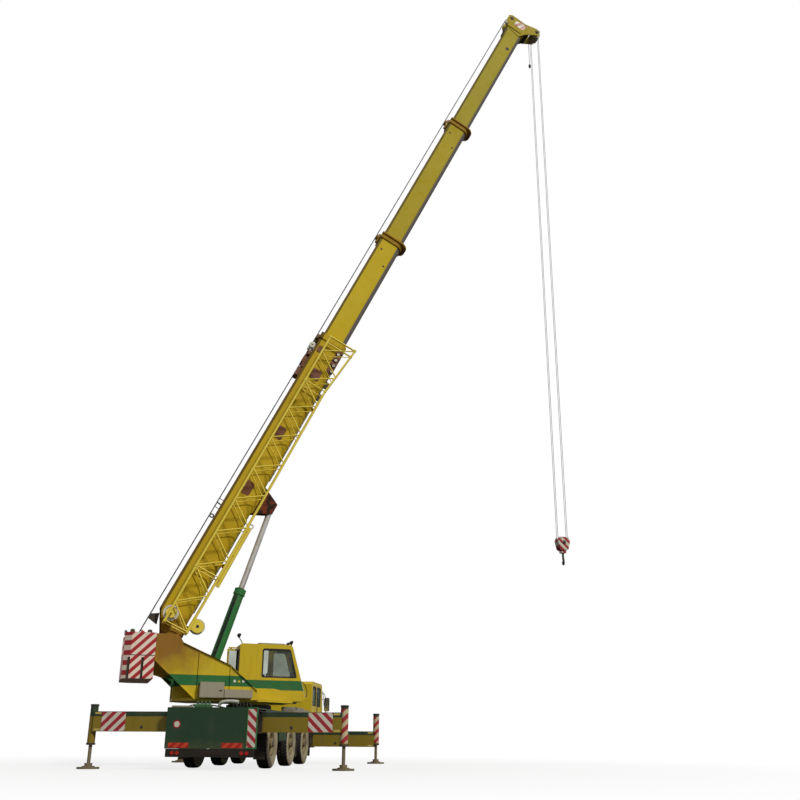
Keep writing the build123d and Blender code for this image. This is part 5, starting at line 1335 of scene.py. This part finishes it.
for u, v in ((31.72, -0.52), (31.55, 0.79)):
    for side in (1, -1):
        centre = at(on_boom, u, side * 0.298, v)
        head_bits.append(
            turned(
                [(0.09, 0.0), (0.09, 0.010), (0.05, 0.014), (0.05, 0.034), (0.0, 0.036)], centre,
                side * leftward, 28,
            )
        )
        head_bits += ring_of(
            turned(button(0.010, 0.020), (0, 0, 0), side * leftward, 6), centre, 6, 0.072, side * leftward
        )
mesh_piece("head_pins", head_bits, socket_iron, "boom_tip", bevel=0.002)
# Black blocks on top of and under the head stand in for the shade there: painted shade.
painted_shade_blocks = [prism([(30.68, 0.787), (31.10, 0.787), (31.10, 0.850), (30.74, 0.838)], "xz", -0.20, 0.20, on_boom)]
painted_shade_blocks.append(
    prism(
        [(31.24, -0.022), (31.33, -0.16), (31.30, -0.27), (31.21, -0.22), (31.14, -0.06)], "xz", -0.268,
        0.268, on_boom,
    )
)
mesh_piece("head_painted_shade", painted_shade_blocks, black_rubber, "boom_tip", bevel=0.004)
keepers = [
    tube(on_boom([(31.78, -0.262, 0.74), (31.78, 0.262, 0.74)]), 0.018, 12),
    tube(on_boom([(31.95, -0.262, -0.60), (31.95, 0.262, -0.60)]), 0.018, 12),
]
for side in (1, -1):
    keepers.append(
        tube(
            on_boom(
                [(31.42, side * 0.305, -0.06), (31.60, side * 0.305, -0.02), (31.70, side * 0.305, 0.12)]
            ),
            0.010, 8,
        )
    )
mesh_piece("head_keepers", keepers, head_yellow, "boom_tip")


# Folded lattice jib. Four round chords laced by thinner tubes on all faces, closed by sleeves and a butt
# frame, with two grooved sheaves at the tip; it lies along the right of the boom on rollers and brown
# carrier plates.
def rods(starts, ends, radius, sides=10):
    """Round bars between many pairs of places along the boom: two rings a bar, all worked out at once."""
    starts, ends = on_boom(starts), on_boom(ends)
    side, up = frame_axes(ends - starts)
    angle = np.linspace(0, 2 * np.pi, sides, endpoint=False)[None, :, None]
    ring = radius * (np.cos(angle) * side[:, None, :] + np.sin(angle) * up[:, None, :])
    points = np.stack([starts[:, None, :] + ring, ends[:, None, :] + ring], axis=1)
    one = np.array(grid_faces(2, sides, wrap_columns=True))
    faces = (one[None] + np.arange(len(starts))[:, None, None] * 2 * sides).reshape(-1, 4).tolist()
    cap = np.arange(sides)[None] + np.arange(len(starts) * 2)[:, None] * sides
    return points.reshape(-1, 3), faces + cap.tolist()


jib_rows, jib_mid = (-0.490, -1.010), 0.170
jib_start, jib_end, tip_length, butt_length = 0.450, 11.800, 1.900, 2.000
tip_half, jib_half, flare = 0.380, 0.400, 0.210
knots = [jib_start, jib_start + tip_length, jib_end - butt_length, jib_end]


def chord_level(u, sign):
    """Height of the upper or lower chord at u: straight between knots, the lower one flared at the butt."""
    upper = np.interp(u, knots, [tip_half, jib_half, jib_half, jib_half])
    lower = np.interp(u, knots, [tip_half, jib_half, jib_half, jib_half + flare])
    return jib_mid + np.where(np.asarray(sign) > 0, upper, -lower)


def chord(u, y, sign):
    """Points on one chord."""
    u = np.atleast_1d(np.asarray(u, float))
    return np.stack([u, np.broadcast_to(y, u.shape), np.broadcast_to(chord_level(u, sign), u.shape)], axis=1)


tip_nodes, long_nodes = np.linspace(knots[0], knots[1], 4), np.linspace(knots[1], knots[2], 13)
stations = np.concatenate([tip_nodes[:-1], long_nodes, np.linspace(knots[2], knots[3], 4)[1:]])
odd = np.arange(len(stations) - 1) % 2 == 1
chords, lacing, starts, ends = [], [], [], []
for y, thickness in zip(jib_rows, (0.015, 0.023)):
    for sign in (1, -1):
        chords.append(rods(chord(knots[:-1], y, sign), chord(knots[1:], y, sign), 0.036, 14))
        sleeve = chord(knots, y, sign)
        shift = np.array([[0.040, 0, 0]])
        chords.append(rods(sleeve - shift, sleeve + shift, 0.046, 14))
    from_end = chord(stations[:-1] + 0.02, y, np.where(odd, 1, -1))
    lacing.append(rods(from_end, chord(stations[1:] - 0.02, y, np.where(odd, -1, 1)), thickness, 10))
for sign in (1, -1):
    first = np.where(odd, jib_rows[0], jib_rows[1])
    starts.append(chord(stations[:-1] + 0.08, first, sign))
    ends.append(chord(stations[1:] - 0.08, sum(jib_rows) - first, sign))
lacing.append(rods(np.concatenate(starts), np.concatenate(ends), 0.014, 10))
low_knots, high_knots = (np.concatenate([chord(knots, y, sign) for y in jib_rows]) for sign in (-1, 1))
frames = rods(low_knots, high_knots, 0.021, 10)
butt_low, butt_high = chord_level(jib_end, -1), chord_level(jib_end, 1)
butt = rods(
    [(jib_end, y, butt_low) for y in jib_rows], [(jib_end, y, butt_high) for y in jib_rows], 0.034, 14
)
jib_enamel = enamel("jib_enamel", (236, 212, 74), 0.2, 0.4, None, 0.6)
tip_u, tip_mid = jib_start + 0.310, sum(jib_rows) / 2
tip_chord = float(chord_level(tip_u, -1))
sheave_levels = (float(chord_level(tip_u, 1)) - 0.050, tip_chord - 0.190)
plates = []
for y in (tip_mid - 0.12, tip_mid + 0.12):
    for level, reach in zip(sheave_levels, (0.16, 0.20)):
        plates.append(turned([(reach, -0.012), (reach, 0.012)], at(on_boom, tip_u, y, level), leftward, 44))
    hanger = [
        (tip_u - 0.23, tip_chord + 0.045), (tip_u + 0.23, tip_chord + 0.045),
        (tip_u + 0.15, sheave_levels[1]), (tip_u - 0.15, sheave_levels[1]),
    ]
    plates.append(prism(hanger, "xz", y - 0.0118, y + 0.0118, on_boom))
high_pin = rods([(tip_u, jib_rows[0], sheave_levels[0])], [(tip_u, jib_rows[1], sheave_levels[0])], 0.040, 18)
low_pin = rods(
    [(tip_u, tip_mid - 0.13, sheave_levels[1])], [(tip_u, tip_mid + 0.13, sheave_levels[1])], 0.040, 18
)
ties = rods(*([(tip_u + d, y, tip_chord) for d in (-0.2, 0.2)] for y in jib_rows), 0.024, 12)
jib = mesh_piece(
    "jib_lattice",
    [*chords, *lacing, frames, butt, *plates, high_pin, low_pin, ties], jib_enamel, "boom",
    bevel=0.002,
)
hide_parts("lattice_jib")
sheave_pale = enamel("sheave_pale", (214, 210, 194), 0.3, 0.45)
rim_line = [
    (0.05, -0.030), (0.05, -0.012), (0.17, -0.008), (0.19, -0.032), (0.24, -0.032), (0.24, -0.022),
    (0.212, 0.0),
]
rim_line += [
    (0.24, 0.022), (0.24, 0.032), (0.19, 0.032), (0.17, 0.008), (0.05, 0.012), (0.05, 0.030), (0.05, -0.030)
]
discs = [turned(rim_line, at(on_boom, tip_u, tip_mid, level), leftward, 48) for level in sheave_levels]
mesh_piece("jib_sheaves", discs, sheave_pale, "boom")
pin_caps = [
    turned(
        [(0.045, 0), (0.045, 0.010), (0, 0.012)], at(on_boom, tip_u, tip_mid - 0.132, level), -leftward, 24
    )
    for level in sheave_levels
]
mesh_piece("jib_pin_caps", pin_caps, black_rubber, "boom")
rollers, faces = [], []
for u, v in ((11.66, 0.00), (11.40, -0.02), (11.16, -0.05), (10.92, -0.09)):
    rollers.append(
        turned(
            [(0.07, 0.0), (0.075, 0.01), (0.075, 0.035), (0.07, 0.045)], at(on_boom, u, -0.372, v),
            -leftward, 28,
        )
    )
    faces.append(
        turned([(0.060, 0.0), (0.060, 0.014), (0.0, 0.016)], at(on_boom, u, -0.417, v), -leftward, 24)
    )
mesh_piece("jib_rollers", rollers, black_rubber, "boom")
mesh_piece("jib_roller_faces", faces, sheave_pale, "boom")
carrier_brown = enamel("carrier_brown", (112, 58, 22), 0.5, 0.5)
boom_side = -0.3705
carrier_sizes = (
    (10.80, 11.95, -0.384, -0.16, 0.10, 0.05),
    (10.30, 10.72, -0.392, 0.16, 0.52, 0.06),
    (11.35, 11.62, -0.390, 0.50, 0.76, 0.05),
    (5.32, 5.82, -0.378, 0.24, 0.58, 0.08),
    (7.62, 8.12, -0.378, 0.24, 0.58, 0.08),
)
carriers = [slab(u0, u1, boom_side, y, v0, v1, on_boom, curve) for u0, u1, y, v0, v1, curve in carrier_sizes]
mesh_piece("jib_carriers", carriers, carrier_brown, "boom", bevel=0.003)
stay = [tube(on_boom([(2.10, -0.86, -0.330), (4.25, -0.86, -0.318)]), 0.060, 16)]
stay += [tube(on_boom([(u, -0.86, -0.325), (u, -0.98, -0.235)]), 0.014, 8) for u in (2.3, 3.2, 4.1)]
mesh_piece("jib_stay", stay, jib_enamel, "boom")
eye = turned(band(0.05, 0.09, -0.02, 0.02), at(on_boom, 4.32, -0.86, -0.318), leftward, 28)
mesh_piece("jib_stay_eye", [eye], sheave_pale, "boom")
roof, under = core + 0.500, core - 0.500
cluster_sizes = (
    (10.20, 10.55, 0.20, -0.20, 0.15, 0.05),
    (10.58, 10.78, 0.10, -0.22, 0.10, 0.03),
    (10.80, 11.10, 0.24, -0.16, 0.17, 0.06),
    (11.14, 11.30, 0.12, -0.24, 0.12, 0.03),
)
cluster = [
    slab(u0, u1, y0, y1, roof - 0.001, roof + high, on_boom, curve)
    for u0, u1, y0, y1, high, curve in cluster_sizes
]
mesh_piece("boom_top_boxes", cluster, carrier_brown, "boom", bevel=0.006)
reel_line = [
    (0.03, -0.05), (0.11, -0.05), (0.11, -0.04), (0.075, -0.03), (0.075, 0.03), (0.11, 0.04), (0.11, 0.05),
    (0.03, 0.05), (0.03, -0.05),
]
reel = [turned(reel_line, at(on_boom, 11.58, y, roof + 0.11), leftward, 32) for y in (-0.14, 0.16)]
mesh_piece("boom_top_reels", reel, sheave_pale, "boom")
prong_feet = np.array([(u, y, roof - 0.01) for y in (-0.30, 0.30) for u in (4.64, 4.79)])
prongs = [rods(prong_feet, prong_feet + [0.02, 0.0, 0.18], 0.012, 10)]
prongs.append(turned(band(0.04, 0.075, -0.02, 0.02), at(on_boom, 4.19, -0.20, roof + 0.073), leftward, 24))
mesh_piece("boom_top_prongs", prongs, socket_iron, "boom")
under_runs = [np.linspace(1.2, 4.7, 12), np.linspace(6.3, 11.6, 16)]
under_pipe = [
    tube(on_boom([(u, y, under - 0.020) for u in run]), 0.013, 8)
    for run in under_runs
    for y in (0.06, 0.10)
]
clips = [
    slab(u - 0.02, u + 0.02, 0.03, 0.13, under - 0.036, under + 0.002, on_boom, 0.008)
    for u in (1.6, 2.9, 4.2, 6.6, 8.2, 9.8, 11.3)
]
brackets = [
    slab(u - 0.13, u + 0.13, -0.12, -0.03, under - 0.14, under + 0.002, on_boom, 0.04)
    for u in (9.92, 10.48)
]
mesh_piece("boom_pipes", under_pipe + clips + brackets, socket_iron, "boom")
drum_line = [
    (0.05, 0.0), (0.26, 0.0), (0.26, 0.012), (0.18, 0.016), (0.18, 0.064), (0.26, 0.068), (0.26, 0.08),
    (0.05, 0.08), (0.05, 0.0),
]
mesh_piece(
    "cable_drum",
    [turned(drum_line, at(on_boom, 10.9, 0.372, core + 0.08), leftward, 40)], black_rubber, "boom",
)


# Lift cylinder. A thick green barrel with a gland ring and two hard pipes, and a hard-chromed rod with
# brown stains; the rod's eye sits between the two plates under the boom.
lift_foot = np.array(joints["lift_barrel_pivot"]["pos_m"])
lift_along = np.array(joints["lift_rod_slide"]["axis"], float)
lift_along /= np.linalg.norm(lift_along)
lift_up = np.cross(lift_along, leftward)


def on_lift(points):
    """Points along the cylinder, to its left and square to it, from its lower pin, to the row frame."""
    points = np.asarray(points, float)
    return lift_foot + points[:, :1] * lift_along + points[:, 1:2] * leftward + points[:, 2:] * lift_up


finish_node("lift_barrel", enamel("lift_green", (38, 118, 58), 0.3, 0.4, None, 0.6))
chrome, tree, place, shader = blank_material("chrome_rod")
stain = ramp(tree, noise(tree, place, 4.0, 8.0), 0.50, 0.72)
fill_in(
    tree,
    shader,
    {
        "Base Color": mixed(tree, product(tree, stain, 0.3), linear(236, 232, 224), linear(150, 120, 84)),
        "Metallic": 0.75,
        "Roughness": add(
            tree, "ShaderNodeMapRange", {"Value": stain, "To Min": 0.14, "To Max": 0.35}
        ).outputs[0],
    },
)
finish_node("lift_rod", chrome)
pipe_runs = []
for v in (0.060, 0.100):
    pipe = [
        (0.60, -0.120, v), (0.68, -0.190, v), (1.0, -0.178, v), (2.4, -0.178, v), (2.86, -0.178, v),
        (2.96, -0.150, v),
    ]
    pipe_runs.append(tube(on_lift(flow(pipe)), 0.016, 10))
saddle = [slab(u - 0.03, u + 0.03, -0.120, -0.190, 0.036, 0.124, on_lift, 0.01) for u in (1.1, 1.9, 2.7)]
gland = turned(
    [(0.168, 0.0), (0.192, 0.006), (0.192, 0.05), (0.168, 0.056), (0.168, 0.0)], at(on_lift, 3.0, 0.0, 0.0),
    lift_along, 40,
)
mesh_piece("barrel_pipes", [*pipe_runs, *saddle], black_rubber, "lift_barrel", bevel=0.002)
mesh_piece("barrel_gland", [gland], board_green, "lift_barrel", bevel=0.002)
wiper_ring = turned(
    [(0.097, 0.0), (0.120, 0.0), (0.112, 0.03), (0.097, 0.034), (0.097, 0.0)], at(on_lift, 3.201, 0.0, 0.0),
    lift_along, 36,
)
mesh_piece("rod_wiper", [wiper_ring], black_rubber, "lift_barrel")


# Hoist rope and hook. One steel rope leaves the drum, runs straight through a guide on each collar and
# over the top sheave; the falls hang plumb to a block painted in red and white bars, with a weight on the
# limit switch.
rope_radius = 0.021
guides = [(0.48, 1.035), (12.02, 1.020), (17.27, 1.020), (24.22, 1.020)]
ear_points = [at(on_boom, u, 0.0, v) for u, v in guides]
sheave_top = at(on_boom, 31.55, 0.0, 1.005)
winch_end = at(on_super, -3.62, 0.0, 3.705)
spans = (
    ("winch", winch_end, ear_points[0], "superstructure", "boom"),
    ("second", ear_points[1], ear_points[2], "boom", "section_2"),
    ("third", ear_points[2], ear_points[3], "section_2", "section_3"),
    ("last", ear_points[3], sheave_top, "section_3", "boom_tip"),
)
for name, start, end, first_body, last_body in spans:
    run = mesh_piece(
        "rope_" + name, [tube(np.stack([start, end]), rope_radius, 8)], rope_steel, None
    )
    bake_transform(run)
mesh_piece("rope_base", [tube(np.stack(ear_points[:2]), rope_radius, 8)], rope_steel, "boom")
tail_guide = [
    prism(
        [(0.36, 0.70), (0.70, 0.80), (0.56, 1.03), (0.42, 1.03)], "xz", side * 0.055, side * 0.067, on_boom
    )
    for side in (1, -1)
]
tail_guide.append(
    turned([(0.045, -0.05), (0.030, 0.0), (0.045, 0.05)], at(on_boom, 0.49, 0.0, 0.983), leftward, 24)
)
mesh_piece("rope_tail_guide", tail_guide, socket_iron, "boom")
turn = np.linspace(0, 1.9, 18)
over_line = np.stack([31.55 + 0.213 * np.sin(turn), np.zeros_like(turn), 0.79 + 0.215 * np.cos(turn)], axis=1)
down_line = flow([over_line[-1], (31.76, -0.05, 0.35), (31.90, -0.05, -0.10), (31.93, -0.05, -0.46)], 14)
mesh_piece(
    "rope_over_head",
    [tube(on_boom(over_line), rope_radius, 8), tube(on_boom(down_line), rope_radius, 8)], rope_steel,
    "boom_tip",
)
falls_steel, tree, place, shader = blank_material("falls_steel")
fill_in(tree, shader, {"Base Color": linear(44, 54, 64), "Metallic": 0.0, "Roughness": 0.7})
finish_node("hoist_falls", falls_steel)
block_mid = middle("hook_block")
finish_node(
    "hook_block",
    enamel(
        "block_enamel",
        bars(hazard_red, hazard_white, (heading[0] * 0.9, heading[1] * 0.9, 1.0), 0.20), 0.4, 0.42, None,
        0.6,
    ),
)
finish_node("hook", enamel("hook_iron", (62, 56, 52), 0.55, 0.5, None, 0.6))


sheave_pin_z = 7.880


def under_head(points):
    """Points forward, left and up from the block's sheave pin, to the row frame."""
    points = np.asarray(points, float)
    origin = np.array([block_mid.x, block_mid.y, sheave_pin_z])
    return origin + points[:, :1] * heading + points[:, 1:2] * leftward + points[:, 2:] * upward


block_bits = []
for side in (1, -1):
    centre = at(under_head, 0, side * 0.150, 0)
    block_bits.append(
        turned(
            [(0.075, 0.0), (0.075, 0.012), (0.04, 0.018), (0.04, 0.03), (0, 0.032)], centre,
            side * leftward, 28,
        )
    )
    for x, z in ((-0.13, 0.16), (0.13, 0.16), (-0.12, -0.20), (0.12, -0.20)):
        block_bits.append(
            turned(button(0.018, 0.016), at(under_head, x, side * 0.150, z), side * leftward, 6)
        )
mesh_piece("block_pins", block_bits, socket_iron, "hook_block", bevel=0.002)
switch_x, switch_y = -0.28, 0.05
head_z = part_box("hoist_falls")[1][2]
switch_top = head_z - sheave_pin_z - 0.35
switch_bits = [
    tube(
        under_head(
            [
                (switch_x, switch_y, switch_top), (switch_x, switch_y, switch_top - 0.7),
                (switch_x, switch_y, switch_top - 1.35),
            ]
        ),
        0.009, 8,
    )
]
switch_bits.append(
    turned(
        [(0.0, -0.10), (0.035, -0.09), (0.05, -0.05), (0.05, 0.06), (0.02, 0.11), (0.0, 0.11)],
        at(under_head, switch_x, switch_y, switch_top - 1.40), upward, 20,
    )
)
mesh_piece("limit_weight", switch_bits, black_rubber, "falls")


# Stage. A floor under the wheels and feet that the camera sees as white away from the machine's shadow,
# while it throws back only the little light that tarmac does; a soft key lamp behind the camera's right,
# and an even sky.
floor_mesh = bpy.data.meshes.new("floor")
half_floor = 160.0
corners = [
    (-half_floor, -half_floor, 0), (half_floor, -half_floor, 0), (half_floor, half_floor, 0),
    (-half_floor, half_floor, 0),
]
floor_mesh.from_pydata(corners, [], [(0, 1, 2, 3)])
floor = bpy.data.objects.new("floor", floor_mesh)
bpy.context.scene.collection.objects.link(floor)
floor_paint, tree, place, shader = blank_material("floor_paint")
grain = noise(tree, place, 3.0, 8.0)
fill_in(
    tree, shader,
    {"Base Color": mixed(tree, grain, linear(196, 195, 192), linear(208, 207, 204)), "Roughness": 0.9},
)
tarmac = add(tree, "ShaderNodeBsdfDiffuse", {"Color": linear(92, 88, 82)}).outputs[0]
white = add(tree, "ShaderNodeEmission", {"Color": (1, 1, 1, 1), "Strength": 1.0}).outputs[0]
away = measured(tree, place, at(on_carrier, 2.5, 0, 0).tolist(), "DISTANCE")
fade = add(
    tree, "ShaderNodeMapRange", {"Value": away, "From Min": 6.0, "From Max": 20.0, "To Min": 0.80}
).outputs[0]
shown = add(tree, "ShaderNodeMixShader", {0: fade, 1: shader.outputs[0], 2: white}).outputs[0]
seen = add(tree, "ShaderNodeLightPath").outputs["Is Camera Ray"]
both = add(tree, "ShaderNodeMixShader", {0: seen, 1: tarmac, 2: shown}).outputs[0]
show(tree, both)
floor_mesh.materials.append(floor_paint)
sky = bpy.data.worlds.new("sky")
bpy.context.scene.world = sky
sky.use_nodes = True
tree = sky.node_tree
tree.nodes.clear()
path = add(tree, "ShaderNodeLightPath").outputs
through = add(
    tree, "ShaderNodeMath", {0: path["Is Camera Ray"], 1: path["Is Transmission Ray"]}, operation="MAXIMUM"
).outputs[0]
soft = add(tree, "ShaderNodeBackground", {"Color": (0.93, 0.96, 1.0, 1), "Strength": 0.46}).outputs[0]
white = add(tree, "ShaderNodeBackground", {"Color": (1, 1, 1, 1), "Strength": 1.0}).outputs[0]
either = add(tree, "ShaderNodeMixShader", {0: through, 1: soft, 2: white}).outputs[0]
add(tree, "ShaderNodeOutputWorld", {"Surface": either})
sun_data = bpy.data.lights.new("key", "SUN")
sun_data.energy = 2.1
sun_data.angle = 0.12
sun_data.color = (1.0, 0.97, 0.90)
sun = bpy.data.objects.new("key", sun_data)
bpy.context.scene.collection.objects.link(sun)
towards = Vector((0.52, 0.62, -0.70))
sun.rotation_euler = towards.to_track_quat("-Z", "Y").to_euler()


# Camera. It stands behind the machine to the right of its track, near the ground, and looks up along the
# boom.
yaw, pitch, roll = 0.089, 0.328, 0.006
ahead = np.array([np.cos(yaw) * np.cos(pitch), np.sin(yaw) * np.cos(pitch), np.sin(pitch)])
right = np.array([np.sin(yaw), -np.cos(yaw), 0.0])
over_head = np.cross(right, ahead)
turned_right = right * np.cos(roll) + over_head * np.sin(roll)
turned_up = -right * np.sin(roll) + over_head * np.cos(roll)
eye = np.array([-25.86, -7.19, 0.78]) + carrier_origin
lens = bpy.data.cameras.new("view")
lens.lens = 38.7
lens.sensor_width = 36.0
lens.shift_y = 0.06
lens.clip_end = 500.0
camera = bpy.data.objects.new("view", lens)
bpy.context.scene.collection.objects.link(camera)
camera_rows = np.stack([turned_right, turned_up, -ahead, eye], axis=1).tolist()
camera.matrix_world = Matrix([*camera_rows, [0, 0, 0, 1]])
bpy.context.scene.camera = camera
bpy.context.scene.view_settings.view_transform = "Standard"
